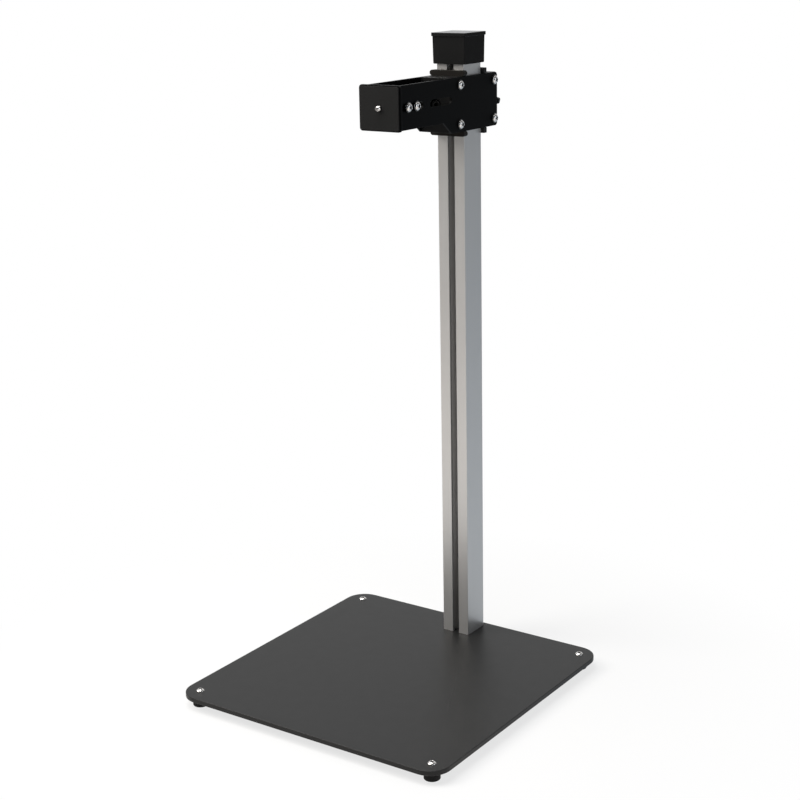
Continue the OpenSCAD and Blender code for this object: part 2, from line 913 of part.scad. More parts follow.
module camera_pad() {
    color([0.05, 0.05, 0.05])
        on_carriage()
            translate([0, camera_plate_at, slot_rise])
                pointing_front()
                    linear_extrude(pad_t)
                        difference() {
                            rounded_rectangle(camera_plate_w - 2 * pad_rim,
                                              camera_plate_h - 2 * pad_rim,
                                              camera_plate_r - pad_rim);
                            circle(d = pad_hole_d);
                        }
}

// The places of the four bracket screws, at a given distance from the middle
module at_bracket_screws(x) {
    on_carriage()
        for (side = [left, right], along = [bracket_screw_front, bracket_screw_rear])
            translate([side * x, along, slot_rise])
                pointing_side(side)
                    children();
}

module bracket_screws() {
    seat = outer_x + washer_gap + m6_washer[2];
    color([0.85, 0.85, 0.87])
        at_bracket_screws(seat)
            button_screw(m6, seat - cheek_x + sheet_t + m6_nut[1]);
}

module bracket_washers() {
    color([0.8, 0.8, 0.82])
        at_bracket_screws(outer_x + washer_gap)
            washer(m6_washer);
}

module bracket_nuts() {
    color([0.75, 0.75, 0.77])
        at_bracket_screws(cheek_x - sheet_t - m6_nut[1])
            difference() {
                hexagon(m6_nut[0], m6_nut[1]);
                translate([0, 0, -cut])
                    cylinder(h = m6_nut[1] + 2 * cut, d = m6[0] + 2 * thread_clear);
            }
}

// Camera screw

module camera_screw() {
    screw_tip = camera_plate_at - pad_t - camera_screw_out;
    neck_end = ring_at + ring_t + ring_clear;
    color([0.8, 0.8, 0.82])
        on_carriage()
            translate([0, 0, slot_rise])
                pointing_front() {
                    translate([0, 0, -knob_at - knob_h])
                        cylinder(h = knob_at + knob_h - neck_end, d = camera_screw_d);
                    translate([0, 0, -neck_end])
                        cylinder(h = neck_end - screw_tip, d = neck_d);
                    translate([0, 0, -screw_tip - camera_screw_out])
                        cylinder(h = camera_screw_out, d = camera_screw_d);
                }
}

module captive_ring() {
    color([0.6, 0.6, 0.62])
        on_carriage()
            translate([0, ring_at + ring_t, slot_rise])
                pointing_front()
                    difference() {
                        washer([neck_d + 2 * thread_clear, ring_d, ring_t]);
                        translate([0, -ring_mouth / 2, -cut])
                            cube([ring_d, ring_mouth, ring_t + 2 * cut]);
                    }
}

module camera_knob() {
    wheel_h = knob_h - knob_collar_h;
    color([0.07, 0.07, 0.07])
        on_carriage()
            translate([0, knob_at, slot_rise])
                pointing_rear()
                    difference() {
                        union() {
                            cylinder(h = wheel_h, d = knob_d);
                            cylinder(h = knob_h, d = knob_collar_d);
                        }
                        for (i = [0 : knob_flutes - 1])
                            rotate(i * 360 / knob_flutes)
                                translate([knob_d / 2 + flute_d / 2 - flute_depth, 0, -cut])
                                    cylinder(h = wheel_h + 2 * cut, d = flute_d);
                        translate([0, 0, -cut])
                            cylinder(h = knob_h + 2 * cut, d = camera_screw_d + 2 * fit_clear);
                    }
}

base_plate();
rubber_feet();
foot_bushes();
foot_screws();
column();
column_screw();
column_washer();
column_dowels();
column_cap();
side_plate(right);  // right_side_plate
side_plate(left);  // left_side_plate
front_block();
rear_block();
front_glide();
side_screws(right);  // right_side_screws
side_screws(left);  // left_side_screws
side_washers(right);  // right_side_washers
side_washers(left);  // left_side_washers
slot_nut();
slot_nut_screw();
rear_glide();
pressure_plate();
pressure_screws();
clamp_screw();
clamp_handle();
handle_pin();
bracket_channel();
camera_plate();
camera_plate_screws();
camera_pad();
bracket_screws();
bracket_washers();
bracket_nuts();
camera_screw();
camera_knob();
captive_ring();
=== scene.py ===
# %% [markdown]
# # A copy stand, dressed for its portrait
#
# A copy stand holds a camera square above a sheet of paper: a heavy coated plate on four rubber feet,
# a slotted aluminium column, and a carriage that slides on the column and reaches out over the plate.
# The solid model gives the size, place and motion of every piece. This lesson gives the pieces their
# broken edges and their finishes. All lengths below are in millimetres, because that is how such a
# stand is drawn, and one step at the end of each piece turns them into Blender's metres.

# %% Load the solid model
import math

import bmesh
import bpy
from mathutils import Matrix, Vector


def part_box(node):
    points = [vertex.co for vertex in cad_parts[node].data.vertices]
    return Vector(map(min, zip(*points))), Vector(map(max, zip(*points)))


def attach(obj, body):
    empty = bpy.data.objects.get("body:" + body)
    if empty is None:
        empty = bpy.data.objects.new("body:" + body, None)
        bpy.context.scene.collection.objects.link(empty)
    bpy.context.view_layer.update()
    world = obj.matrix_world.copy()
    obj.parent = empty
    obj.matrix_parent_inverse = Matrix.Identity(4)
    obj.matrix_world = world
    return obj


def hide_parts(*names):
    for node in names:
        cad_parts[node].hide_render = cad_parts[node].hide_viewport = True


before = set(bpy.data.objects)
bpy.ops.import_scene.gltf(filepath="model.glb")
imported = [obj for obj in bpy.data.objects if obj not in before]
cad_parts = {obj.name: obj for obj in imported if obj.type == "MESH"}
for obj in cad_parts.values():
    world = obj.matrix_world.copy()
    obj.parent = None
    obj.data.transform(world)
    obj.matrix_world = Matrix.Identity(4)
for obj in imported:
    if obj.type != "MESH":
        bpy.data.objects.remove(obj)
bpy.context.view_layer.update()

MM = 0.001

# %% [markdown]
# Every piece starts from the box of the solid that it stands for, so nothing is placed by eye.
# A box is read once here in millimetres. The carriage has its own working point: the column's front
# face, half way up the side plates. Depths along the arms are counted from there.

# %% Boxes in millimetres
def box(node):
    low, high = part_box(node)
    return low / MM, high / MM


column_low, column_high = box("column")
arm_low, arm_high = box("right_side_plate")
column_front = column_low.y
carriage_z = (arm_low.z + arm_high.z) / 2
print("column front at", round(column_front, 2), "carriage centre at", round(carriage_z, 2))

# %% [markdown]
# ## Outlines
#
# Most pieces of the stand are cut from sheet or bar: an outline with a thickness, and edges that were
# broken with a file. An outline here is a few corners, each with its own radius. The same outline has
# to come out again a little smaller for the rounded rim, so the function takes an inset. An inset
# shrinks the radius of an outer corner and grows the radius of an inner one, as an offset path does.

# %% Rounded outlines
ARC_STEPS = 10
SHARPEST = 0.02


def outline(corners, radii, inset=0.0, steps=ARC_STEPS):
    points = []
    count = len(corners)
    for i in range(count):
        before, here, after = (Vector(corners[(i + k) % count]) for k in (-1, 0, 1))
        come = (here - before).normalized()
        leave = (after - here).normalized()
        turn = math.atan2(come.x * leave.y - come.y * leave.x, come.dot(leave))
        side = 1 if turn > 0 else -1
        inward = Vector((-come.y - leave.y, come.x + leave.x)).normalized()
        corner = here + inward * inset / math.cos(turn / 2)
        radius = max(radii[i] - side * inset, SHARPEST)
        centre = corner + inward * side * radius / math.cos(turn / 2)
        start = math.atan2(-side * come.x, side * come.y)
        for k in range(steps + 1):
            angle = start + turn * k / steps
            points.append(centre + radius * Vector((math.cos(angle), math.sin(angle))))
    return points


def rectangle(width, height, radius, inset=0.0, centre=(0.0, 0.0), steps=ARC_STEPS):
    x, y = width / 2, height / 2
    cx, cy = centre
    corners = [(cx - x, cy - y), (cx + x, cy - y), (cx + x, cy + y), (cx - x, cy + y)]
    return outline(corners, [radius] * 4, inset, steps)


def circle(radius, centre=(0.0, 0.0), count=48):
    turns = [2 * math.pi * k / count for k in range(count)]
    return [Vector((centre[0] + radius * math.cos(a), centre[1] + radius * math.sin(a))) for a in turns]


# %% [markdown]
# ## Rings, skins and lids
#
# A piece is built from rings: closed loops of edges, each at its own height. bmesh bridges one ring to
# the next to make the wall, and fills the first and last rings for the faces. A hole is one more stack
# of rings whose ends join the same two faces. Bridging keeps the rim even all the way round, which a
# bevel on a face with holes does not, because the face has to be cut into triangles first.

# %% Rings and walls
RIM_STEPS = 3


def ring(bm, points, height):
    verts = [bm.verts.new((p.x, p.y, height)) for p in points]
    return [bm.edges.new((verts[i - 1], verts[i])) for i in range(len(verts))]


def skin(bm, stack):
    rings = [ring(bm, points, height) for points, height in stack]
    for lower, upper in zip(rings, rings[1:]):
        bmesh.ops.bridge_loops(bm, edges=lower + upper)
    return rings[0], rings[-1]


def lid(bm, edges):
    bmesh.ops.triangle_fill(bm, use_beauty=True, use_dissolve=False, edges=edges)


def wall(shape, low, high, edge):
    """The rings of a wall from low to high whose two rims are rounded by edge. shape takes an inset."""
    quarter = [math.pi / 2 * k / RIM_STEPS for k in range(RIM_STEPS + 1)]
    rise = [(edge * (1 - math.sin(a)), low + edge * (1 - math.cos(a))) for a in quarter]
    fall = [(inset, low + high - height) for inset, height in reversed(rise)]
    return [(shape(inset), height) for inset, height in rise + fall]


def hole(radius, low, high, edge, centre=(0.0, 0.0)):
    return wall(lambda inset: circle(radius + inset, centre), low, high, edge)


def slab(bm, stacks):
    """One closed solid whose outer wall and holes all run between the same two faces."""
    ends = [skin(bm, stack) for stack in stacks]
    lid(bm, [e for first, _ in ends for e in first])
    lid(bm, [e for _, last in ends for e in last])


# %% [markdown]
# Turned pieces, such as screws, feet and knobs, are rings too, all on one axis. A hexagon socket needs
# rings that change from round to six-sided, so a hexagon is written here as a radius that depends on
# the angle. It has as many points as a round ring, and the two bridge one to one.

# %% Turned pieces
TURN_COUNT = 48


def hexagon(across, count=TURN_COUNT):
    points = []
    for k in range(count):
        angle = 2 * math.pi * k / count
        off = (angle + math.pi / 6) % (math.pi / 3) - math.pi / 6
        radius = across / 2 / math.cos(off)
        points.append(Vector((radius * math.cos(angle), radius * math.sin(angle))))
    return points


def turned(bm, stack):
    first, last = skin(bm, stack)
    lid(bm, first)
    lid(bm, last)


def repeat(bm, make, places):
    """Makes the same shape once for each place."""
    for place in places:
        known = set(bm.verts)
        make(bm)
        fresh = [v for v in bm.verts if v not in known]
        bmesh.ops.transform(bm, matrix=place, verts=fresh)


# %% [markdown]
# ## Where things point
#
# Shapes are drawn lying on the XY plane and then stood up. Four placings cover the whole stand: as it
# is, towards a side for the plates and their screws, towards the front, and towards the rear.

# %% Placings
def columns(x, y, z, at=(0, 0, 0)):
    turn = Matrix((x, y, z)).transposed().to_4x4()
    return Matrix.Translation(at) @ turn


def on_side(side, at=(0, 0, 0)):
    """Drawn z points along +X or -X, drawn y stays up."""
    return columns((0, side, 0), (0, 0, 1), (side, 0, 0), at)


def to_front(at=(0, 0, 0)):
    return columns((1, 0, 0), (0, 0, 1), (0, -1, 0), at)


def to_rear(at=(0, 0, 0)):
    return columns((-1, 0, 0), (0, 0, 1), (0, 1, 0), at)


def carriage_point(x, depth, rise):
    return (x, column_front + depth, carriage_z + rise)


# %% [markdown]
# ## From bmesh to a finished piece
#
# The last step is the same for every piece: merge what touches, turn all faces outwards, go from
# millimetres to metres, and shade smooth except across true corners. Weighted normals keep the large
# flat faces flat while the small rims beside them stay soft, which is what catches the light.

# %% Finishing a piece
SMOOTH_UNDER = math.radians(38)


def finish_piece(bm, name, body, nodes, slot, place=None, material=None):
    bmesh.ops.remove_doubles(bm, verts=bm.verts, dist=SHARPEST / 10)
    bmesh.ops.recalc_face_normals(bm, faces=bm.faces)
    if place is not None:
        bm.transform(place)
    bm.transform(Matrix.Scale(MM, 4))
    mesh = bpy.data.meshes.new(name)
    bm.to_mesh(mesh)
    bm.free()
    mesh.shade_smooth()
    mesh.set_sharp_from_angle(angle=SMOOTH_UNDER)
    piece = bpy.data.objects.new(name, mesh)
    bpy.context.scene.collection.objects.link(piece)
    weighted = piece.modifiers.new("weighted", "WEIGHTED_NORMAL")
    weighted.keep_sharp = True
    weighted.weight = 100
    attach(piece, body)
    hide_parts(*nodes)
    mesh.materials.append(finishes[material or slot])
    print(name, len(mesh.polygons), "faces")
    return piece


# %% [markdown]
# ## Finishes
#
# No surface of the stand is one flat colour. Three effects return on nearly every piece, so each is a
# node group with named inputs: a fine grain that varies tone and height, wear that finds the edges by
# comparing the true normal with a rounded one, and dust that settles on what faces up. A group puts
# out masks and heights only, and each material keeps its own Principled shader.

# %% Helpers for node groups
def new_group(name, inputs, outputs):
    group = bpy.data.node_groups.new(name, "ShaderNodeTree")
    for label, default in inputs:
        socket = group.interface.new_socket(name=label, in_out="INPUT", socket_type="NodeSocketFloat")
        socket.default_value = default
    for label in outputs:
        group.interface.new_socket(name=label, in_out="OUTPUT", socket_type="NodeSocketFloat")
    return group, group.nodes.new("NodeGroupInput"), group.nodes.new("NodeGroupOutput")


def math_node(nodes, links, operation, first, second=None, clamp=False):
    node = nodes.new("ShaderNodeMath")
    node.operation = operation
    node.use_clamp = clamp
    for socket, value in zip(node.inputs, (first, second)):
        if isinstance(value, bpy.types.NodeSocket):
            links.new(value, socket)
        elif value is not None:
            socket.default_value = value
    return node.outputs[0]


# %% [markdown]
# Grain: two noises of different size, stretched if asked. The stretch makes the long drawing lines of
# an extruded column, and left at one it makes the even orange peel of powder coat.

# %% The grain group
def make_grain():
    inputs = [("Size", 400.0), ("Stretch", 1.0), ("Detail", 3.0)]
    group, enter, leave = new_group("fine_grain", inputs, ["Fine", "Broad"])
    nodes, links = group.nodes, group.links
    place = nodes.new("ShaderNodeTexCoord")
    shape = nodes.new("ShaderNodeCombineXYZ")
    shape.inputs["X"].default_value = 1.0
    shape.inputs["Y"].default_value = 1.0
    links.new(enter.outputs["Stretch"], shape.inputs["Z"])
    mapping = nodes.new("ShaderNodeMapping")
    links.new(place.outputs["Object"], mapping.inputs["Vector"])
    links.new(shape.outputs[0], mapping.inputs["Scale"])
    for label, share in (("Fine", 1.0), ("Broad", 0.03)):
        noise = nodes.new("ShaderNodeTexNoise")
        links.new(mapping.outputs[0], noise.inputs["Vector"])
        links.new(math_node(nodes, links, "MULTIPLY", enter.outputs["Size"], share), noise.inputs["Scale"])
        links.new(enter.outputs["Detail"], noise.inputs["Detail"])
        links.new(noise.outputs["Fac"], leave.inputs[label])
    return group


# %% [markdown]
# Edge wear: the Bevel node looks a small radius around each point and rounds the normal there. Where
# it differs from the true normal there is an edge. Noise breaks the line up, since a hand rubs an
# edge unevenly.

# %% The edge wear group
def make_edge_wear():
    inputs = [("Radius", 0.0006), ("Amount", 1.0), ("Break Size", 220.0)]
    group, enter, leave = new_group("edge_wear", inputs, ["Mask"])
    nodes, links = group.nodes, group.links
    bevel = nodes.new("ShaderNodeBevel")
    bevel.samples = 4
    links.new(enter.outputs["Radius"], bevel.inputs["Radius"])
    geometry = nodes.new("ShaderNodeNewGeometry")
    dot = nodes.new("ShaderNodeVectorMath")
    dot.operation = "DOT_PRODUCT"
    links.new(bevel.outputs[0], dot.inputs[0])
    links.new(geometry.outputs["Normal"], dot.inputs[1])
    edge = math_node(nodes, links, "SUBTRACT", 1.0, dot.outputs["Value"], clamp=True)
    strong = math_node(nodes, links, "MULTIPLY", edge, 6.0, clamp=True)
    place = nodes.new("ShaderNodeTexCoord")
    noise = nodes.new("ShaderNodeTexNoise")
    links.new(place.outputs["Object"], noise.inputs["Vector"])
    links.new(enter.outputs["Break Size"], noise.inputs["Scale"])
    broken = math_node(nodes, links, "MULTIPLY", strong, noise.outputs["Fac"])
    links.new(math_node(nodes, links, "MULTIPLY", broken, enter.outputs["Amount"], clamp=True),
              leave.inputs["Mask"])
    return group


# %% [markdown]
# Dust: a patchy noise that counts only where the surface looks up. On the base plate it breaks up the
# gloss very slightly, as on any plate that papers are laid on.

# %% The dust group
def make_dust():
    inputs = [("Size", 60.0), ("Amount", 0.3)]
    group, enter, leave = new_group("settled_dust", inputs, ["Mask"])
    nodes, links = group.nodes, group.links
    place = nodes.new("ShaderNodeTexCoord")
    up = nodes.new("ShaderNodeSeparateXYZ")
    links.new(place.outputs["Normal"], up.inputs[0])
    noise = nodes.new("ShaderNodeTexNoise")
    links.new(place.outputs["Object"], noise.inputs["Vector"])
    links.new(enter.outputs["Size"], noise.inputs["Scale"])
    noise.inputs["Detail"].default_value = 6.0
    patch = math_node(nodes, links, "POWER", noise.outputs["Fac"], 2.0)
    facing = math_node(nodes, links, "MULTIPLY", patch, up.outputs["Z"], clamp=True)
    links.new(math_node(nodes, links, "MULTIPLY", facing, enter.outputs["Amount"], clamp=True),
              leave.inputs["Mask"])
    return group


groups = {"grain": make_grain(), "wear": make_edge_wear(), "dust": make_dust()}
print("node groups:", ", ".join(g.name for g in groups.values()))

# %% [markdown]
# One recipe serves all finishes: a colour that the grain shifts a little towards a second one, worn
# edges in a third, dust over the top, roughness that follows the same masks, and a bump from the fine
# grain. What a finish is made of shows in the numbers that it gives the recipe.

# %% The finish recipe
DUST_COLOUR = (0.35, 0.34, 0.33, 1.0)


def grey(level, warmth=0.0):
    return (level * (1 + warmth), level, level * (1 - warmth), 1.0)


def mixed(nodes, links, factor, first, second):
    mix = nodes.new("ShaderNodeMix")
    mix.data_type = "RGBA"
    colour_inputs = [s for s in mix.inputs if s.type == "RGBA"]
    if isinstance(factor, bpy.types.NodeSocket):
        links.new(factor, mix.inputs["Factor"])
    for socket, value in zip(colour_inputs, (first, second)):
        if isinstance(value, bpy.types.NodeSocket):
            links.new(value, socket)
        else:
            socket.default_value = value
    return next(s for s in mix.outputs if s.type == "RGBA")


def add_group(nodes, kind, **values):
    node = nodes.new("ShaderNodeGroup")
    node.node_tree = groups[kind]
    for label, value in values.items():
        node.inputs[label.replace("_", " ")].default_value = value
    return node


def inside_box(nodes, links, low, high, soft):
    """One well inside a box given in metres, zero outside, with soft sides."""
    place = nodes.new("ShaderNodeTexCoord")
    split = nodes.new("ShaderNodeSeparateXYZ")
    links.new(place.outputs["Object"], split.inputs[0])
    mask = 1.0
    for axis, start, end in zip("XYZ", low, high):
        for wall_at, sign in ((start, 1.0), (end, -1.0)):
            depth = math_node(nodes, links, "SUBTRACT", split.outputs[axis], wall_at)
            share = math_node(nodes, links, "MULTIPLY", depth, sign / soft, clamp=True)
            mask = math_node(nodes, links, "MULTIPLY", share, mask)
    return mask


def finish(name, base, second, worn, rough, rough_swing=0.08, metal=0.0, grain_size=900.0, stretch=1.0,
           bump=0.1, bump_depth=0.00004, wear=0.5, wear_radius=0.0006, dust=0.0, specular=0.5,
           anisotropic=0.0, painted_shade_box=None, painted_shade=None):
    material = bpy.data.materials.new(name)
    material.use_nodes = True
    nodes, links = material.node_tree.nodes, material.node_tree.links
    shader = nodes["Principled BSDF"]
    shader.inputs["Metallic"].default_value = metal
    shader.inputs["Specular IOR Level"].default_value = specular
    shader.inputs["Anisotropic"].default_value = anisotropic
    grain = add_group(nodes, "grain", Size=grain_size, Stretch=stretch)
    edges = add_group(nodes, "wear", Radius=wear_radius, Amount=wear)
    colour = mixed(nodes, links, grain.outputs["Broad"], base, second)
    colour = mixed(nodes, links, edges.outputs["Mask"], colour, worn)
    # Painted shade: inside this box the colour turns darker, where little light reaches.
    if painted_shade_box is not None:
        colour = mixed(nodes, links, inside_box(nodes, links, *painted_shade_box), colour, painted_shade)
    swing = math_node(nodes, links, "MULTIPLY", grain.outputs["Broad"], rough_swing)
    roughness = math_node(nodes, links, "ADD", swing, rough - rough_swing / 2)
    if dust > 0:
        settled = add_group(nodes, "dust", Amount=dust)
        colour = mixed(nodes, links, settled.outputs["Mask"], colour, DUST_COLOUR)
        roughness = math_node(nodes, links, "ADD", roughness, settled.outputs["Mask"], clamp=True)
    links.new(colour, shader.inputs["Base Color"])
    links.new(roughness, shader.inputs["Roughness"])
    relief = nodes.new("ShaderNodeBump")
    relief.inputs["Strength"].default_value = bump
    relief.inputs["Distance"].default_value = bump_depth
    links.new(grain.outputs["Fine"], relief.inputs["Height"])
    links.new(relief.outputs[0], shader.inputs["Normal"])
    return material


# %% [markdown]
# The stand has few finishes, each named after what it covers. The plate wears a dark grey powder coat,
# the column is satin anodised, the carriage is coated a deep matt black, and the screws are bright
# plated steel. Inside the column's slot the aluminium is painted darker within a soft box: a painted
# shade, because little light reaches it.

# %% All the finishes
# Painted shade for the slot: the aluminium is painted darker inside this box.
SLOT_REACH = (10.5, 14.0)
SLOT_SKIN, SLOT_SOFT = 0.2, 1.5
BELOW_ALL, ABOVE_ALL = -1.0, 2.0
slot_painted_shade = [(-SLOT_REACH[0] * MM, (column_front + SLOT_SKIN) * MM, BELOW_ALL),
               (SLOT_REACH[0] * MM, (column_front + SLOT_REACH[1]) * MM, ABOVE_ALL), SLOT_SOFT * MM]
finishes = {
    "base_paint": finish("base_paint", grey(0.0095), grey(0.012), grey(0.04), rough=0.40,
                         rough_swing=0.06, grain_size=1600.0, bump=0.35, bump_depth=0.00003, wear=0.35,
                         dust=0.02, specular=0.25),
    "foot_rubber": finish("foot_rubber", grey(0.006), grey(0.009), grey(0.02), rough=0.68,
                          grain_size=1200.0, bump=0.3, wear=0.2, specular=0.2),
    "bright_steel": finish("bright_steel", grey(0.72, 0.03), grey(0.66, 0.03), grey(0.9), rough=0.08, metal=1.0,
                           grain_size=2200.0, bump=0.05, wear=0.3),
    # Painted shade: the inside of the hexagon sockets is painted a dark steel.
    "socket_painted_shade": finish("socket_painted_shade", grey(0.05), grey(0.03), grey(0.1), rough=0.4, metal=1.0,
                           grain_size=1800.0, bump=0.08, wear=0.0),
    # Painted shade and highlight: the washer is painted darker than the screw heads, a painted shade for the
    # gap beside the head, and its rims much lighter, a painted highlight as well as wear.
    "washer_painted_shade_and_highlight": finish("washer_painted_shade_and_highlight", grey(0.16, 0.02), grey(0.12), grey(0.6), rough=0.2, metal=1.0,
                           grain_size=1800.0, bump=0.08, wear=0.3),
    "zinc_steel": finish("zinc_steel", grey(0.62, 0.01), grey(0.5), grey(0.75), rough=0.32, metal=1.0,
                         grain_size=1500.0, bump=0.1, wear=0.4),
    "dark_steel": finish("dark_steel", grey(0.02), grey(0.03), grey(0.15), rough=0.36, metal=0.9,
                         grain_size=1500.0, bump=0.1, wear=0.5),
    "column_aluminium": finish("column_aluminium", grey(0.64, 0.012), grey(0.61, 0.015), grey(0.72),
                               rough=0.37, rough_swing=0.05, metal=0.66, grain_size=1400.0, stretch=0.004,
                               bump=0.12, bump_depth=0.00002, wear=0.2, wear_radius=0.0004,
                               anisotropic=0.3, painted_shade_box=slot_painted_shade, painted_shade=grey(0.38, 0.01)),
    "cap_plastic": finish("cap_plastic", grey(0.0115), grey(0.014), grey(0.03), rough=0.15,
                          rough_swing=0.03, grain_size=900.0, bump=0.05, wear=0.3, specular=0.05),
    "carriage_paint": finish("carriage_paint", grey(0.0015), grey(0.0021), grey(0.03), rough=0.38,
                             grain_size=1300.0, bump=0.3, bump_depth=0.00003, wear=0.5, specular=0.05),
    "block_aluminium": finish("block_aluminium", grey(0.006), grey(0.008), grey(0.05), rough=0.4,
                              grain_size=1100.0, stretch=0.3, bump=0.12, wear=0.5, specular=0.12),
    "glide_plastic": finish("glide_plastic", grey(0.006, 0.2), grey(0.009, 0.2), grey(0.03), rough=0.5,
                            grain_size=700.0, bump=0.2, wear=0.3, specular=0.15),
    "pad_plastic": finish("pad_plastic", grey(0.012), grey(0.016), grey(0.04), rough=0.5,
                          grain_size=700.0, bump=0.2, wear=0.3, specular=0.15),
    "knob_plastic": finish("knob_plastic", grey(0.006), grey(0.009), grey(0.03), rough=0.42,
                           grain_size=800.0, bump=0.2, wear=0.35, specular=0.2),
    "pad_rubber": finish("pad_rubber", grey(0.008), grey(0.012), grey(0.02), rough=0.75,
                         grain_size=1000.0, bump=0.6, bump_depth=0.00012, wear=0.2, specular=0.15),
}
print(len(finishes), "finishes")

# %% [markdown]
# ## Camera, light and floor
#
# The stand is seen from its front right corner, a little from above. The lens is a short telephoto, and
# the camera leans by about a degree, so its axes are worked out from the two angles and that roll.

# %% The camera
LENS = 73.665
AZIMUTH, ELEVATION, ROLL = (math.radians(a) for a in (34.875, 15.842, -1.115))
AIM = Vector((-230.06, 357.01, 250.0))
DISTANCE = 2487.7

back = Vector((math.sin(AZIMUTH) * math.cos(ELEVATION), -math.cos(AZIMUTH) * math.cos(ELEVATION),
               math.sin(ELEVATION)))
level = (-back).cross(Vector((0, 0, 1))).normalized()
raised = level.cross(-back)
right = math.cos(ROLL) * level + math.sin(ROLL) * raised
upward = math.cos(ROLL) * raised - math.sin(ROLL) * level
camera = bpy.data.objects.new("camera", bpy.data.cameras.new("camera"))
camera.data.lens = LENS
camera.data.sensor_width = 36.0
camera.data.clip_end = 100.0
camera.matrix_world = Matrix.Translation((AIM + back * DISTANCE) * MM) @ Matrix(
    (right, upward, back)).transposed().to_4x4()
bpy.context.scene.collection.objects.link(camera)
bpy.context.scene.camera = camera
print("camera at, m:", [round(v, 3) for v in camera.matrix_world.translation])

# %% [markdown]
# Light in a product studio comes from large soft sources: here one broad warm panel high on the left, a
# weak cool one on the right, and a strip that draws a line down the column's near edge.

# %% Lights
LIGHT_AIM = Vector((0.0, 40.0, 350.0))
WARM, COOL = (1.0, 0.96, 0.9), (0.85, 0.92, 1.0)
LAMPS = [
    # name, place in mm, width and height in mm, power in watts, colour
    ("key_panel", (-1500, -1300, 2100), (1400, 1400), 56.0, WARM),
    ("side_panel", (2300, 300, 1300), (1000, 1600), 6.0, COOL),
    ("edge_strip", (1500, -900, 900), (120, 1500), 3.0, COOL),
    ("top_panel", (-200, -450, 2500), (1400, 900), 36.0, (1.0, 1.0, 1.0)),
]

for name, place, (width, height), power, tint in LAMPS:
    lamp = bpy.data.objects.new(name, bpy.data.lights.new(name, "AREA"))
    lamp.data.shape = "RECTANGLE"
    lamp.data.size, lamp.data.size_y = width * MM, height * MM
    lamp.data.energy = power
    lamp.data.color = tint
    lamp.location = Vector(place) * MM
    lamp.rotation_euler = (LIGHT_AIM - Vector(place)).to_track_quat("-Z", "Y").to_euler()
    bpy.context.scene.collection.objects.link(lamp)
print(len(LAMPS), "lamps")

# %% [markdown]
# The surroundings are white where the camera looks straight at them. What the metal mirrors is the
# same pale studio with its own light and shade: brightest on the floor just before the stand, dark far
# in front, and cooler and dimmer behind and to the right, so that the two faces of the column that we
# see differ. The Light Path node tells the two apart, and a ramp from front to rear holds the shades.

# %% The shades of the studio
FILL_LIGHT = 0.42
RIGHT_DIM, RIGHT_FULL = 0.25, 0.5
WHITE = (1.0, 1.0, 1.0, 1.0)
# Place between the first and last end of the ramp, brightness and warmth
WALL_SHADES = [(0.0, 0.1, 0.02), (0.35, 0.35, 0.01), (0.6, 0.85, 0.0), (1.0, 0.85, -0.01)]
FLOOR_SHADES = [(0.0, 0.4, 0.04), (0.06, 0.03, 0.05), (0.11, 0.14, 0.06), (0.2, 0.42, 0.06),
                (0.3, 0.9, 0.06), (0.38, 1.0, 0.05), (0.455, 1.0, 0.03), (0.54, 0.66, -0.06),
                (0.62, 0.62, -0.1), (1.0, 0.38, -0.14)]


def straight_on(nodes, links):
    """One for what the camera sees directly or through clear glass."""
    path = nodes.new("ShaderNodeLightPath")
    return math_node(nodes, links, "MAXIMUM", path.outputs["Is Camera Ray"],
                     path.outputs["Is Transmission Ray"])


def spread(nodes, links, value, start, end, low, high):
    node = nodes.new("ShaderNodeMapRange")
    links.new(value, node.inputs["Value"])
    for label, number in zip(("From Min", "From Max", "To Min", "To Max"), (start, end, low, high)):
        node.inputs[label].default_value = number
    return node.outputs["Result"]


def studio_colour(nodes, links, along, reach, shades):
    """White straight on, and in mirrors the shade at this place between front and rear."""
    ramp = nodes.new("ShaderNodeValToRGB")
    stops = ramp.color_ramp.elements
    while len(stops) < len(shades):
        stops.new(1.0)
    for stop, (place, level, warmth) in zip(stops, shades):
        stop.position = place
        stop.color = grey(level, warmth)
    links.new(spread(nodes, links, along, -reach, reach, 0.0, 1.0), ramp.inputs["Fac"])
    return mixed(nodes, links, straight_on(nodes, links), ramp.outputs["Color"], WHITE)


# %% The white surroundings
world = bpy.data.worlds.new("studio")
bpy.context.scene.world = world
world.use_nodes = True
nodes, links = world.node_tree.nodes, world.node_tree.links
backdrop = nodes["Background"]
aim = nodes.new("ShaderNodeSeparateXYZ")
links.new(nodes.new("ShaderNodeTexCoord").outputs["Generated"], aim.inputs[0])
links.new(studio_colour(nodes, links, aim.outputs["Y"], 1.0, WALL_SHADES), backdrop.inputs["Color"])
path = nodes.new("ShaderNodeLightPath")
fill = spread(nodes, links, path.outputs["Is Diffuse Ray"], 0.0, 1.0, 1.0, FILL_LIGHT)
to_right = spread(nodes, links, aim.outputs["X"], 0.0, RIGHT_FULL, 1.0, RIGHT_DIM)
shown = math_node(nodes, links, "MAXIMUM", to_right, straight_on(nodes, links))
links.new(math_node(nodes, links, "MULTIPLY", fill, shown), backdrop.inputs["Strength"])

# %% [markdown]
# The floor keeps some of its own shading close to the stand, so the stand still stands on its shadow,
# and fades to plain white further out, where no edge of the floor may show.

# %% The floor
FLOOR_SIDE = 12000.0
SHADE_KEPT, MIRROR_SHADE_KEPT = 0.26, 0.1
SHADE_NEAR, SHADE_FAR = 0.28, 0.6
SHADES_REACH = 2.2

feet_low, feet_high = box("rubber_feet")
bm = bmesh.new()
bmesh.ops.create_grid(bm, x_segments=1, y_segments=1, size=FLOOR_SIDE / 2 * MM)
bm.transform(Matrix.Translation((0, 0, feet_low.z * MM)))
floor_mesh = bpy.data.meshes.new("floor")
bm.to_mesh(floor_mesh)
bm.free()
floor = bpy.data.objects.new("floor", floor_mesh)
bpy.context.scene.collection.objects.link(floor)

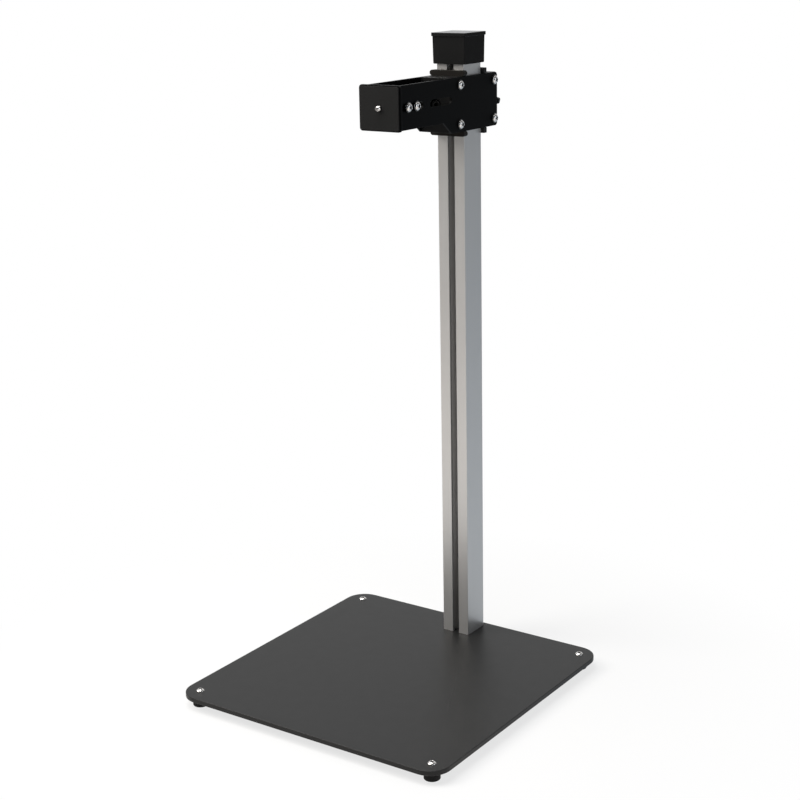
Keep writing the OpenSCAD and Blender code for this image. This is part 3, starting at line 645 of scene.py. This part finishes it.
floor_paint = bpy.data.materials.new("floor_paint")
floor_paint.use_nodes = True
nodes, links = floor_paint.node_tree.nodes, floor_paint.node_tree.links
nodes["Principled BSDF"].inputs["Base Color"].default_value = grey(0.85)
nodes["Principled BSDF"].inputs["Roughness"].default_value = 0.9
nodes["Principled BSDF"].inputs["Specular IOR Level"].default_value = 0.0
place = nodes.new("ShaderNodeTexCoord")
spot = nodes.new("ShaderNodeSeparateXYZ")
links.new(place.outputs["Object"], spot.inputs[0])
reach = nodes.new("ShaderNodeVectorMath")
reach.operation = "LENGTH"
links.new(place.outputs["Object"], reach.inputs[0])
glow = nodes.new("ShaderNodeEmission")
links.new(studio_colour(nodes, links, spot.outputs["Y"], SHADES_REACH, FLOOR_SHADES),
          glow.inputs["Color"])
kept = spread(nodes, links, reach.outputs["Value"], SHADE_NEAR, SHADE_FAR, SHADE_KEPT, 0.0)
straight = math_node(nodes, links, "SUBTRACT", 1.0, kept)
path = nodes.new("ShaderNodeLightPath")
seen = math_node(nodes, links, "MULTIPLY", straight_on(nodes, links), straight)
mirrored = math_node(nodes, links, "MULTIPLY", path.outputs["Is Glossy Ray"], 1.0 - MIRROR_SHADE_KEPT)
blend = nodes.new("ShaderNodeMixShader")
links.new(math_node(nodes, links, "ADD", seen, mirrored), blend.inputs[0])
links.new(nodes["Principled BSDF"].outputs[0], blend.inputs[1])
links.new(glow.outputs[0], blend.inputs[2])
links.new(blend.outputs[0], nodes["Material Output"].inputs["Surface"])
floor_mesh.materials.append(floor_paint)
bpy.context.scene.view_settings.view_transform = "Standard"
print("floor at z, mm:", round(feet_low.z, 2))

# %% [markdown]
# ## The base plate
#
# A square of steel, cut, bevelled and powder coated. Its top is where papers lie, so the corner screws
# sit in shallow spot faces and the column stands in a shallow pocket. The bevel is real geometry: it
# draws the thin bright line along the far edges.

# %% Base plate
PLATE_CORNER, PLATE_BEVEL = 28.0, 0.8
FOOT_D = 20.2
SCREW_HOLE, SPOT_D, SPOT_DEPTH = 6.6, 10.9, 0.3
POCKET_DEPTH = 0.4
COLUMN_EDGE = 0.5
COLUMN_SCREW_HOLE, DOWEL_HOLE = 8.6, 5.04
FIT = 0.02
DOWEL_INSET = 5.2

plate_low, plate_high = box("base_plate")
plate_side = plate_high.x - plate_low.x
foot_at = feet_high.x - FOOT_D / 2
column_w = column_high.x - column_low.x
column_y = (column_low.y + column_high.y) / 2
foot_spots = [(x * foot_at, y * foot_at) for x in (-1, 1) for y in (-1, 1)]


def base_plate():
    bm = bmesh.new()
    low, high = plate_low.z, plate_high.z
    edge = wall(lambda inset: rectangle(plate_side, plate_side, PLATE_CORNER, inset), low, high, PLATE_BEVEL)
    under, over = skin(bm, edge)
    floor_edges = []
    for spot in foot_spots:
        steps = [(circle(SCREW_HOLE / 2, spot), low), (circle(SCREW_HOLE / 2, spot), high - SPOT_DEPTH),
                 (circle(SPOT_D / 2, spot), high - SPOT_DEPTH), (circle(SPOT_D / 2, spot), high)]
        first, last = skin(bm, steps)
        under, over = under + first, over + last
    dowel_at = column_w / 2 - DOWEL_INSET
    drilled = [(COLUMN_SCREW_HOLE, (0, column_y))]
    drilled += [(DOWEL_HOLE, (side * dowel_at, column_y + side * dowel_at)) for side in (-1, 1)]
    for width, spot in drilled:
        first, last = skin(bm, [(circle(width / 2, spot), low), (circle(width / 2, spot), high - POCKET_DEPTH)])
        under, floor_edges = under + first, floor_edges + last
    pocket = rectangle(column_w + 2 * FIT, column_w + 2 * FIT, COLUMN_EDGE, centre=(0, column_y))
    first, last = skin(bm, [(pocket, high - POCKET_DEPTH), (pocket, high)])
    for edges in (under, over + last, floor_edges + first):
        lid(bm, edges)
    return finish_piece(bm, "plate", "stand", ["base_plate"], "base_paint")


base_plate()

# %% [markdown]
# ## Feet and their screws
#
# Each foot is a moulded rubber cylinder round a threaded steel bush, held by a domed screw from above.
# The foot is turned here from the bush seat outwards and down to the shallow dimple that the mould
# leaves underneath.

# %% Rubber feet
FOOT_EDGE, FOOT_TOP_EDGE = 1.5, 0.5
BUSH_D, BUSH_H = 12.04, 8.0
DIMPLE_D, DIMPLE_DEPTH = 9.0, 0.6


def rounding(radius, edge, height, low=True, steps=4):
    """The turned quarter round between a flat end and a straight side."""
    angles = [math.pi / 2 * k / steps for k in range(steps + 1)]
    side = 1 if low else -1
    rings = [(radius - edge * (1 - math.sin(a)), height + side * edge * (1 - math.cos(a))) for a in angles]
    return rings if low else rings[::-1]


def foot(bm):
    top, low = plate_low.z, feet_low.z
    profile = [(DIMPLE_D / 2 - 0.6, low + DIMPLE_DEPTH), (DIMPLE_D / 2, low + 0.1), (DIMPLE_D / 2 + 0.3, low)]
    profile += rounding(FOOT_D / 2, FOOT_EDGE, low)
    profile += rounding(FOOT_D / 2, FOOT_TOP_EDGE, top, low=False)
    profile += [(BUSH_D / 2, top), (BUSH_D / 2, top - BUSH_H)]
    turned(bm, [(circle(radius), height) for radius, height in profile])


def feet():
    bm = bmesh.new()
    repeat(bm, foot, [Matrix.Translation((x, y, 0)) for x, y in foot_spots])
    return finish_piece(bm, "feet", "stand", ["rubber_feet"], "foot_rubber")


feet()

# %% [markdown]
# ## Domed screws
#
# A button head screw is a low dome on a straight rim, with a hexagon socket sunk into it. The socket's
# mouth has a small countersink, and its floor ends in the cone of the drill. Both catch light, and they
# make the difference between a screw and a stud. The inside of the socket is painted a dark steel: a
# painted shade for the recess.

# %% Domed screws and washers
M6 = {"shank": 6.0, "head": 10.5, "rise": 3.3, "key": 4.0}
HEAD_RIM = 0.6
SOCKET_SHARE = 0.6
DOME_STEPS = 6
TIP_BEVEL = 0.5
HEAD_EASE, MOUTH_LIP, MOUTH_SINK, SOCKET_CONE = 0.15, 0.35, 0.25, 0.3
WASHER_BORE, WASHER_D, WASHER_T = 6.4, 12.5, 1.6
WASHER_EDGE = 0.18


def button_screw(bm, size, length):
    head, rise, key, shank = size["head"] / 2, size["rise"], size["key"], size["shank"] / 2
    dome = rise - HEAD_RIM
    ball = (head ** 2 + dome ** 2) / (2 * dome)
    mouth = key / math.sqrt(3) + MOUTH_LIP
    stack = [(circle(shank - TIP_BEVEL), -length), (circle(shank), TIP_BEVEL - length), (circle(shank), 0),
             (circle(head - HEAD_EASE), 0), (circle(head), HEAD_EASE), (circle(head), HEAD_RIM - 0.1)]
    for k in range(DOME_STEPS + 1):
        radius = head - 0.05 - (head - 0.05 - mouth) * k / DOME_STEPS
        stack.append((circle(radius), rise - ball + math.sqrt(ball ** 2 - radius ** 2)))
    crown = stack[-1][1]
    stack.append((hexagon(key), crown - MOUTH_SINK))
    stack.append((hexagon(key), crown - rise * SOCKET_SHARE + SOCKET_CONE))
    stack.append((circle(key / 4), crown - rise * SOCKET_SHARE))
    known = set(bm.faces)
    turned(bm, stack)
    # Faces inside the socket take the second material, a painted shade for the recess.
    for face in bm.faces:
        spot = face.calc_center_median()
        inside = 0 < spot.z < crown - MOUTH_SINK and spot.xy.length < key / math.sqrt(3)
        if face not in known and inside:
            face.material_index = 1


def washer(bm, bore=WASHER_BORE, width=WASHER_D, thickness=WASHER_T):
    edge = WASHER_EDGE
    profile = [(bore / 2 + edge, 0), (width / 2 - edge, 0), (width / 2, edge), (width / 2, thickness - edge),
               (width / 2 - edge, thickness), (bore / 2 + edge, thickness), (bore / 2, thickness - edge),
               (bore / 2, edge), (bore / 2 + edge, 0)]
    skin(bm, [(circle(radius), height) for radius, height in profile])


def screw_group(name, nodes, body, places, length):
    bm = bmesh.new()
    repeat(bm, lambda b: button_screw(b, M6, length), places)
    piece = finish_piece(bm, name, body, nodes, "bright_steel")
    # The second material paints shade into the sockets.
    piece.data.materials.append(finishes["socket_painted_shade"])
    return piece


def washer_group(name, nodes, body, places):
    bm = bmesh.new()
    repeat(bm, washer, places)
    # The washer finish paints shade on the face and a highlight on the rims.
    return finish_piece(bm, name, body, nodes, "bright_steel", material="washer_painted_shade_and_highlight")


FOOT_SCREW_LENGTH = 13.9
screw_group("corner_screws", ["foot_screws"], "stand",
            [Matrix.Translation((x, y, -SPOT_DEPTH)) for x, y in foot_spots], FOOT_SCREW_LENGTH)

# %% [markdown]
# ## The column
#
# The column is a drawn aluminium profile. One slot runs down its front, wide inside and narrow at the
# mouth, and the same hollow lies closed behind the other three faces. Its section is one outline with
# six holes. The corners of the slot's mouth are barely broken, as on any extrusion, and
# they draw the fine lines beside the dark slot.

# %% The column's section
SLOT_W, LIP_T, CORNER_W, CAVITY_SIDE = 10.0, 4.5, 10.0, 2.6
CORE_D, CORE_WALL = 6.8, 4.0
CHAMBER_W, CHAMBER_R = 5.6, 0.8
MOUTH_R, INNER_R = 0.25, 0.4

half_w = column_w / 2
cavity_half = half_w - CORNER_W
slot_depth = half_w - CORE_D / 2 - CORE_WALL
floor_half = cavity_half - (slot_depth - LIP_T - CAVITY_SIDE)


def turned_corners(corners, quarter):
    angle = math.pi / 2 * quarter
    turn = Matrix(((math.cos(angle), -math.sin(angle)), (math.sin(angle), math.cos(angle))))
    return [turn @ Vector(c) for c in corners]


def cavity_corners():
    face = -half_w
    return [(-floor_half, face + slot_depth), (-cavity_half, face + LIP_T + CAVITY_SIDE),
            (-cavity_half, face + LIP_T), (cavity_half, face + LIP_T),
            (cavity_half, face + LIP_T + CAVITY_SIDE), (floor_half, face + slot_depth)]


def column_edge(inset):
    face, mouth = -half_w, SLOT_W / 2
    corners = [(half_w, face), (half_w, half_w), (-half_w, half_w), (-half_w, face), (-mouth, face),
               (-mouth, face + LIP_T)]
    inner = cavity_corners()
    corners += [inner[2], inner[1], inner[0], inner[5], inner[4], inner[3]]
    corners += [(mouth, face + LIP_T), (mouth, face)]
    radii = [COLUMN_EDGE] * 4 + [MOUTH_R] * 2 + [INNER_R] * 6 + [MOUTH_R] * 2
    return outline(corners, radii, inset)


def column():
    bm = bmesh.new()
    length = column_high.z - column_low.z
    stacks = [[(column_edge(0), 0), (column_edge(0), length)]]
    for quarter in (1, 2, 3):
        shape = outline(turned_corners(cavity_corners()[::-1], quarter), [INNER_R] * 6)
        stacks.append([(shape, 0), (shape, length)])
    chamber_at = half_w - DOWEL_INSET
    for x in (-1, 1):
        for y in (-1, 1):
            shape = rectangle(CHAMBER_W, CHAMBER_W, CHAMBER_R, centre=(x * chamber_at, y * chamber_at))
            stacks.append([(shape, 0), (shape, length)])
    stacks.append([(circle(CORE_D / 2), 0), (circle(CORE_D / 2), length)])
    slab(bm, stacks)
    place = Matrix.Translation((0, column_y, column_low.z))
    return finish_piece(bm, "column_profile", "stand", ["column"], "column_aluminium", place)


column()

# %% [markdown]
# ## The cap
#
# A moulded cap closes the column. Its body narrows a little downwards, so that it leaves the mould, and
# a flange runs round the top. The lower corners are relieved. The rings here are rounded squares, and
# the lowest of them rise at their corners to cut that relief.

# %% Column cap
CAP_FLANGE_H, CAP_FLANGE_OUT, CAP_TAPER = 4.4, 1.1, 0.5
CAP_EDGE, FLANGE_RIM, FLANGE_FILLET = 1.5, 0.6, 0.5
CAP_SKIRT = 27.0
CAP_RELIEF = 1.5
SOCKET_GAP = 0.15


def cap():
    low, high = box("column_cap")
    height = high.z - low.z
    flange_w = high.x - low.x
    body_w = flange_w - 2 * CAP_FLANGE_OUT
    under = height - CAP_FLANGE_H
    socket = rectangle(column_w + 2 * SOCKET_GAP, column_w + 2 * SOCKET_GAP, COLUMN_EDGE)
    lip = 0.4
    bm = bmesh.new()
    stack = [(socket, CAP_SKIRT), (socket, lip)]
    stack.append((rectangle(column_w + 2 * SOCKET_GAP, column_w + 2 * SOCKET_GAP, COLUMN_EDGE, -lip), 0))
    lower_w = body_w - 2 * CAP_TAPER
    stack.append((rectangle(lower_w, lower_w, CAP_EDGE + lip, lip), 0))
    stack.append((rectangle(lower_w, lower_w, CAP_EDGE), lip))
    stack.append((rectangle(body_w, body_w, CAP_EDGE), under - FLANGE_FILLET))
    stack.append((rectangle(body_w, body_w, CAP_EDGE, -0.15), under - 0.15))
    stack.append((rectangle(body_w, body_w, CAP_EDGE, -FLANGE_FILLET), under))
    flange = wall(lambda inset: rectangle(flange_w, flange_w, CAP_EDGE, inset), under, height, FLANGE_RIM)
    turned(bm, stack + flange)
    corner = lower_w / math.sqrt(2) - CAP_RELIEF
    for vert in bm.verts:
        out = (abs(vert.co.x) + abs(vert.co.y)) / math.sqrt(2) - corner
        if vert.co.z < CAP_RELIEF and out > 0:
            vert.co.z = max(vert.co.z, out)
    place = Matrix.Translation((0, column_y, low.z))
    return finish_piece(bm, "cap", "stand", ["column_cap"], "cap_plastic", place)


cap()

# %% [markdown]
# ## The side plates
#
# Two mirrored plates hold the carriage together and reach forward as arms. Each is cut from 3 mm sheet:
# tall at the column, with a sloped step up to the arm, one open slot beside the column and one near the
# tip, through which the camera bracket is clamped.

# %% Side plates
ARM_H, ARM_SLOPE = 53.5, 18.0
ARM_TIP_R, SLOPE_R, PLATE_REAR_R = 6.0, 3.0, 4.5
FRONT_BLOCK = (-35.0, -8.5)
REAR_SLOT, FRONT_SLOT = (-83.5, -35.0), (-144.0, -98.0)
SLOT_H, SLOT_RISE = 9.1, 7.25
SIDE_SCREWS, SIDE_SCREW_RISE = (-15.9, 65.5), 24.3
SHEET_EDGE = 0.35

tip = arm_low.y - column_front
tail = arm_high.y - column_front
half_h = (arm_high.z - arm_low.z) / 2
side_t = arm_high.x - arm_low.x
side_spots = [(depth, rise * SIDE_SCREW_RISE) for depth in SIDE_SCREWS for rise in (-1, 1)]


def plate_edge(inset):
    arm_low_edge = half_h - ARM_H
    corners = [(tip, arm_low_edge), (FRONT_BLOCK[0] - ARM_SLOPE, arm_low_edge), (FRONT_BLOCK[0], -half_h),
               (tail, -half_h), (tail, half_h), (tip, half_h)]
    return outline(corners, [ARM_TIP_R, 1.0, SLOPE_R, PLATE_REAR_R, PLATE_REAR_R, ARM_TIP_R], inset)


def long_slot(span):
    centre = (sum(span) / 2, SLOT_RISE)
    return lambda inset: rectangle(span[1] - span[0], SLOT_H, SLOT_H / 2 - SHARPEST, -inset, centre)


def side_plate(side, name, node):
    bm = bmesh.new()
    stacks = [wall(plate_edge, 0, side_t, SHEET_EDGE)]
    stacks += [wall(long_slot(span), 0, side_t, SHEET_EDGE) for span in (REAR_SLOT, FRONT_SLOT)]
    stacks += [hole(SCREW_HOLE / 2, 0, side_t, 0.2, spot) for spot in side_spots]
    slab(bm, stacks)
    inner = arm_low.x if side > 0 else -arm_high.x
    place = columns((0, 1, 0), (0, 0, 1), (1, 0, 0), carriage_point(inner, 0, 0))
    return finish_piece(bm, name, "carriage", [node], "carriage_paint", place)


side_plate(1, "arm_right", "right_side_plate")
side_plate(-1, "arm_left", "left_side_plate")

# %% [markdown]
# The screws of the side plates are the brightest things on the stand. Each has its washer, and both are
# placed from the same list of spots as the holes.

# %% Screws and washers of the carriage
SIDE_SCREW_LENGTH = 17.0
for side, word in ((1, "right"), (-1, "left")):
    seat = arm_high.x
    on_plate = [on_side(side, carriage_point(side * seat, depth, rise)) for depth, rise in side_spots]
    on_washer = [on_side(side, carriage_point(side * (seat + WASHER_T), depth, rise))
                 for depth, rise in side_spots]
    washer_group("washers_" + word, [word + "_side_washers"], "carriage", on_plate)
    screw_group("screws_" + word, [word + "_side_screws"], "carriage", on_washer, SIDE_SCREW_LENGTH)

# %% [markdown]
# ## Blocks
#
# A cross block fills the gap between the plates in front of the column, and another one behind. The
# front block is counterbored for the screw of the slot nut, and the rear one carries the clamp screw.
# Both are machined bar, so their edges are broken evenly.

# %% Cross blocks
BLOCK_EDGE = 0.6
COUNTERBORE_D, COUNTERBORE_H, BOLT_HOLE = 16.0, 9.0, 8.6
COUNTERBORE_EASE = 0.4
CLAMP_HOLE = 8.1


def block_stacks(node, bore):
    low, high = box(node)
    width, height, depth = high.x - low.x, high.z - low.z, high.y - low.y
    edge = wall(lambda inset: rectangle(width, height, BLOCK_EDGE, inset, steps=3), 0, depth, BLOCK_EDGE)
    return [edge, bore(depth)], low, high


def counterbored(depth):
    step = depth - COUNTERBORE_H
    return [(circle(BOLT_HOLE / 2), 0), (circle(BOLT_HOLE / 2), step), (circle(COUNTERBORE_D / 2), step),
            (circle(COUNTERBORE_D / 2), depth - COUNTERBORE_EASE),
            (circle(COUNTERBORE_D / 2 + COUNTERBORE_EASE), depth)]


def front_block():
    bm = bmesh.new()
    stacks, _, high = block_stacks("front_block", counterbored)
    slab(bm, stacks)
    return finish_piece(bm, "block_front", "carriage", ["front_block"], "block_aluminium",
                        to_front((0, high.y, carriage_z)))


def rear_block():
    bm = bmesh.new()
    stacks, low, _ = block_stacks("rear_block", lambda depth: hole(CLAMP_HOLE / 2, 0, depth, 0.5))
    slab(bm, stacks)
    return finish_piece(bm, "block_rear", "carriage", ["rear_block"], "block_aluminium",
                        to_rear((0, low.y, carriage_z)))


front_block()
rear_block()

# %% Cap screw of the slot nut
CAP_HEAD_D, CAP_HEAD_H, CAP_KEY, CAP_SHANK = 13.0, 8.0, 6.0, 8.0
KNURLS, KNURL_DEPTH = 24, 0.12


def knurled(radius):
    points = circle(radius, count=4 * KNURLS)
    return [p * (1 - KNURL_DEPTH / radius * (i % 2)) for i, p in enumerate(points)]


def cap_screw():
    low, high = box("slot_nut_screw")
    length = high.y - low.y - CAP_HEAD_H
    count = 4 * KNURLS
    bm = bmesh.new()
    stack = [(circle(CAP_SHANK / 2 - 0.6, count=count), -length),
             (circle(CAP_SHANK / 2, count=count), 0.6 - length),
             (circle(CAP_SHANK / 2, count=count), 0), (knurled(CAP_HEAD_D / 2 - 0.2), 0),
             (knurled(CAP_HEAD_D / 2), 0.3), (knurled(CAP_HEAD_D / 2), CAP_HEAD_H - 0.9),
             (circle(CAP_HEAD_D / 2 - 0.2, count=count), CAP_HEAD_H - 0.5),
             (circle(CAP_HEAD_D / 2 - 0.7, count=count), CAP_HEAD_H),
             (circle(CAP_KEY / math.sqrt(3) + 0.3, count=count), CAP_HEAD_H),
             (hexagon(CAP_KEY, count), CAP_HEAD_H - 0.3), (hexagon(CAP_KEY, count), CAP_HEAD_H - 4.5)]
    turned(bm, stack)
    return finish_piece(bm, "slot_bolt", "carriage", ["slot_nut_screw"], "dark_steel",
                        to_front((0, low.y + CAP_HEAD_H, carriage_z)))


cap_screw()

# %% [markdown]
# ## Glides
#
# Two plastic glides carry the load of the carriage on the column. Seen from the front, each is a web
# between the plates with a flange above and below them. The front flanges have full round ends, the
# rear ones are square with broken corners.

# %% Glides
WEB_GAP = 0.2
GLIDE_EDGE = 0.35


def glide_edge(web_w, web_h, flange_w, flange_h, end_r):
    x, y, top, reach = web_w / 2, web_h / 2, web_h / 2 + flange_h, flange_w / 2
    upper = [(x, y), (reach, y), (reach, top), (-reach, top), (-reach, y), (-x, y)]
    lower = [(-px, -py) for px, py in upper]
    radii = [0.3, end_r, end_r, end_r, end_r, 0.3] * 2
    return lambda inset: outline([*upper, *lower], radii, inset)


def glide(name, node, body, slot, gap, end_r, bore):
    low, high = box(node)
    web_h = 2 * (half_h + gap)
    flange_h = (high.z - low.z - web_h) / 2
    depth = high.y - low.y
    edge = glide_edge(2 * (arm_low.x - WEB_GAP), web_h, high.x - low.x, flange_h, end_r(flange_h))
    bm = bmesh.new()
    slab(bm, [wall(edge, 0, depth, GLIDE_EDGE), hole(bore / 2, 0, depth, 0.3)])
    return finish_piece(bm, name, body, [node], slot, to_front((0, high.y, carriage_z)))


glide("glide_front", "front_glide", "carriage", "glide_plastic", 0.0, lambda h: h / 2 - SHARPEST, BOLT_HOLE)
DISC_SEAT = 12.4
glide("glide_rear", "rear_glide", "clamp_pad", "pad_plastic", WEB_GAP, lambda h: 0.6, DISC_SEAT)

# %% [markdown]
# ## The clamp
#
# Behind the column a screw with a small bar handle presses the rear glide home. The screw has a real
# thread here: its rings have a radius that follows the turn of the helix, so bridging them gives the
# groove. The handle is cast in one piece, a hub with a bar through it.

# %% Threads
THREAD_RINGS_PER_PITCH = 8


def threaded(radius, pitch, low, high, depth_share=0.6):
    """The rings of a thread between two heights, run out to its core at both ends."""
    depth = pitch * depth_share
    count = int((high - low) / pitch * THREAD_RINGS_PER_PITCH)
    stack = []
    for k in range(count + 1):
        height = low + (high - low) * k / count
        fade = min(1.0, (height - low) / pitch, (high - height) / pitch)
        points = []
        for i in range(TURN_COUNT):
            turn = height / pitch - i / TURN_COUNT
            groove = abs(2 * (turn % 1) - 1)
            away = depth * (groove if fade >= 1 else 1 - fade * (1 - groove))
            angle = 2 * math.pi * i / TURN_COUNT
            points.append((radius - away) * Vector((math.cos(angle), math.sin(angle))))
        stack.append((points, height))
    return stack


# %% Clamp screw and handle
M8_PITCH = 1.25
CLAMP_D, DISC_D, DISC_T = 8.0, 12.0, 2.0
HUB_D, HUB_H, BAR_RISE, BAR_T = 16.0, 14.0, 6.8, 5.0
BAR_LENGTH, BAR_H, BAR_TURN = 41.0, 8.1, math.radians(14)
PLAIN_IN_HUB = 12.0


def clamp_screw():
    low, high = box("clamp_screw")
    length = high.y - low.y
    plain = length - PLAIN_IN_HUB
    bm = bmesh.new()
    stack = [(circle(DISC_D / 2 - 0.4), 0), (circle(DISC_D / 2), 0.4), (circle(DISC_D / 2), DISC_T - 0.2),
             (circle(DISC_D / 2 - 0.2), DISC_T)]
    stack += threaded(CLAMP_D / 2, M8_PITCH, DISC_T + 0.5, plain)
    stack += [(circle(CLAMP_D / 2), plain + 0.4), (circle(CLAMP_D / 2), length - 0.6),
              (circle(CLAMP_D / 2 - 0.6), length)]
    turned(bm, stack)
    return finish_piece(bm, "pressing_screw", "clamp", ["clamp_screw"], "zinc_steel",
                        to_rear((0, low.y, carriage_z)))


def handle():
    low, _ = box("clamp_handle")
    hub = HUB_D / 2
    profile = [(CLAMP_D / 2 + FIT, HUB_H - 1.0), (CLAMP_D / 2 + 0.6, HUB_H)]
    bm = bmesh.new()
    rim = [(hub - 1.0, HUB_H), (hub - 0.3, HUB_H - 0.3), (hub, HUB_H - 1.0)]
    foot_rim = [(hub, 0.8), (hub - 0.25, 0.25), (hub - 0.8, 0), (CLAMP_D / 2 + 0.5, 0),
                (CLAMP_D / 2 + FIT, 0.5)]
    rings = profile + rim + foot_rim + profile[:1]
    skin(bm, [(circle(radius), height) for radius, height in rings])
    bar = wall(lambda inset: rectangle(BAR_LENGTH, BAR_H, 2.2, inset), BAR_RISE, BAR_RISE + BAR_T, 0.9)
    waist = hole(CLAMP_D / 2 + FIT, BAR_RISE, BAR_RISE + BAR_T, 0.02)
    slab(bm, [bar, waist])
    turn = Matrix.Rotation(BAR_TURN, 4, "Z")
    return finish_piece(bm, "clamp_bar", "clamp", ["clamp_handle"], "knob_plastic",
                        to_rear((0, low.y, carriage_z)) @ turn)


clamp_screw()
handle()

# %% [markdown]
# ## The camera plate and its pad
#
# At the tip of the arms a plate stands upright, with a rubber pad on its face and a quarter inch screw
# through its middle. The camera's base is drawn against the pad. The plate is countersunk for four
# screws that hold it to the bent channel behind, and the pad covers them.

# %% Camera plate
CAMERA_PLATE_R, CAMERA_PLATE_EDGE = 4.0, 0.6
PASS_HOLE = 7.0
COUNTERSINK_D, COUNTERSINK_H, SMALL_HOLE = 8.2, 2.2, 4.2
PLATE_SCREW_SPOTS = [(x * 14.0, y * 16.0) for x in (-1, 1) for y in (-1, 1)]
PAD_R, PAD_HOLE, PAD_EDGE = 2.5, 8.0, 0.4

camera_low, camera_high = box("camera_plate")
camera_axis_z = (camera_low.z + camera_high.z) / 2


def countersunk(spot, depth):
    small, large = circle(SMALL_HOLE / 2, spot), circle(COUNTERSINK_D / 2, spot)
    return [(small, 0), (small, depth - COUNTERSINK_H), (large, depth)]


def camera_plate():
    width, height = camera_high.x - camera_low.x, camera_high.z - camera_low.z
    depth = camera_high.y - camera_low.y
    bm = bmesh.new()
    edge = wall(lambda inset: rectangle(width, height, CAMERA_PLATE_R, inset), 0, depth, CAMERA_PLATE_EDGE)
    sunk = [countersunk(spot, depth) for spot in PLATE_SCREW_SPOTS]
    slab(bm, [edge, hole(PASS_HOLE / 2, 0, depth, 0.3), *sunk])
    return finish_piece(bm, "mount_plate", "camera_bracket", ["camera_plate"], "carriage_paint",
                        to_front((0, camera_high.y, camera_axis_z)))


def camera_pad():
    low, high = box("camera_pad")
    bm = bmesh.new()
    edge = wall(lambda inset: rectangle(high.x - low.x, high.z - low.z, PAD_R, inset), 0, high.y - low.y,
                PAD_EDGE)
    slab(bm, [edge, hole(PAD_HOLE / 2, 0, high.y - low.y, 0.3)])
    return finish_piece(bm, "mount_pad", "camera_bracket", ["camera_pad"], "pad_rubber",
                        to_front((0, high.y, camera_axis_z)))


camera_plate()
camera_pad()

# %% Bracket screws and washers
BRACKET_SCREWS = (-113.0, -131.0)
BRACKET_SCREW_LENGTH = 14.75
WASHER_GAP = 0.05
for name, node, extra, make_group in (("bracket_rings", "bracket_washers", 0.0, washer_group),
                                      ("bracket_bolts", "bracket_screws", WASHER_T, None)):
    places = [on_side(side, carriage_point(side * (arm_high.x + WASHER_GAP + extra), depth, SLOT_RISE))
              for side in (-1, 1) for depth in BRACKET_SCREWS]
    if make_group:
        make_group(name, [node], "camera_bracket", places)
    else:
        screw_group(name, [node], "camera_bracket", places, BRACKET_SCREW_LENGTH)

# %% [markdown]
# ## The camera screw and its knob
#
# The quarter inch screw has a thread at both ends of a thinner neck, where a ring keeps it in the
# plate. Only the thread at its tip is cut here; the end in the knob is left plain. A fluted knob turns
# it from behind, between the arms. The flutes are a radius that dips a little, twelve times in a turn.

# %% Camera screw
INCH_PITCH = 1.27
CAMERA_SCREW_D, NECK_D, SCREW_OUT = 6.35, 5.6, 5.0
NECK_FROM_COLUMN = 151.1


def camera_screw():
    low, high = box("camera_screw")
    length = high.y - low.y
    bm = bmesh.new()
    neck_end = high.y - (column_front - NECK_FROM_COLUMN)
    stack = [(circle(CAMERA_SCREW_D / 2 - 0.5), 0), (circle(CAMERA_SCREW_D / 2), 0.5),
             (circle(CAMERA_SCREW_D / 2), neck_end - 0.3), (circle(NECK_D / 2), neck_end),
             (circle(NECK_D / 2), length - SCREW_OUT)]
    stack += threaded(CAMERA_SCREW_D / 2, INCH_PITCH, length - SCREW_OUT, length - 0.4, 0.5)
    stack.append((circle(CAMERA_SCREW_D / 2 - 1.1), length))
    turned(bm, stack)
    return finish_piece(bm, "quarter_inch_screw", "camera_thumbscrew", ["camera_screw"], "bright_steel",
                        to_front((0, high.y, camera_axis_z)))


# %% Fluted knob
KNOB_D, KNOB_FLUTES, FLUTE_DEPTH = 28.0, 12, 1.1
KNOB_COUNT = 144
COLLAR_D, COLLAR_H = 16.0, 4.5


def fluted(radius, depth):
    points = []
    for p in circle(radius, count=KNOB_COUNT):
        wave = math.cos(KNOB_FLUTES * math.atan2(p.y, p.x))
        points.append(p * (1 - depth / radius * max(0.0, wave) ** 0.7))
    return points


def knob():
    low, high = box("camera_knob")
    height = high.y - low.y
    wheel = height - COLLAR_H
    outer, bore = KNOB_D / 2, CAMERA_SCREW_D / 2 + FIT

    def round_ring(radius):
        return circle(radius, count=KNOB_COUNT)

    stack = [(round_ring(bore), 0), (round_ring(outer - 2.4), 0), (fluted(outer - 0.9, FLUTE_DEPTH), 0.25),
             (fluted(outer, FLUTE_DEPTH), 1.1), (fluted(outer, FLUTE_DEPTH), wheel - 1.1),
             (fluted(outer - 0.9, FLUTE_DEPTH), wheel - 0.25), (round_ring(outer - 2.4), wheel),
             (round_ring(COLLAR_D / 2 + 0.8), wheel - 0.3), (round_ring(COLLAR_D / 2), wheel + 0.2),
             (round_ring(COLLAR_D / 2), height - 0.6), (round_ring(COLLAR_D / 2 - 0.6), height),
             (round_ring(bore + 0.4), height), (round_ring(bore), height - 0.4), (round_ring(bore), 0)]
    bm = bmesh.new()
    skin(bm, stack)
    return finish_piece(bm, "thumb_knob", "camera_thumbscrew", ["camera_knob"], "knob_plastic",
                        to_rear((0, low.y, camera_axis_z)))


camera_screw()
knob()

# %% [markdown]
# ## Pieces that stay as they are
#
# What is hidden, or already has its true shape, keeps its solid and gets a finish: the bent channel,
# the nut in the slot, the plate that spreads the clamp's push, and the small steel parts under the
# base.

# %% Finishes for the solids that stay
STAYING = {
    "zinc_steel": ["foot_bushes", "column_screw", "column_washer", "column_dowels", "slot_nut",
                   "pressure_plate", "pressure_screws", "handle_pin", "camera_plate_screws",
                   "bracket_nuts", "captive_ring"],
    "carriage_paint": ["bracket_channel"],
}
for slot_name, names in STAYING.items():
    for node_name in names:
        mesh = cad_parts[node_name].data
        mesh.materials.clear()
        mesh.materials.append(finishes[slot_name])
shown = [n for n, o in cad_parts.items() if not o.hide_render]
print("solids that stay:", ", ".join(sorted(shown)))
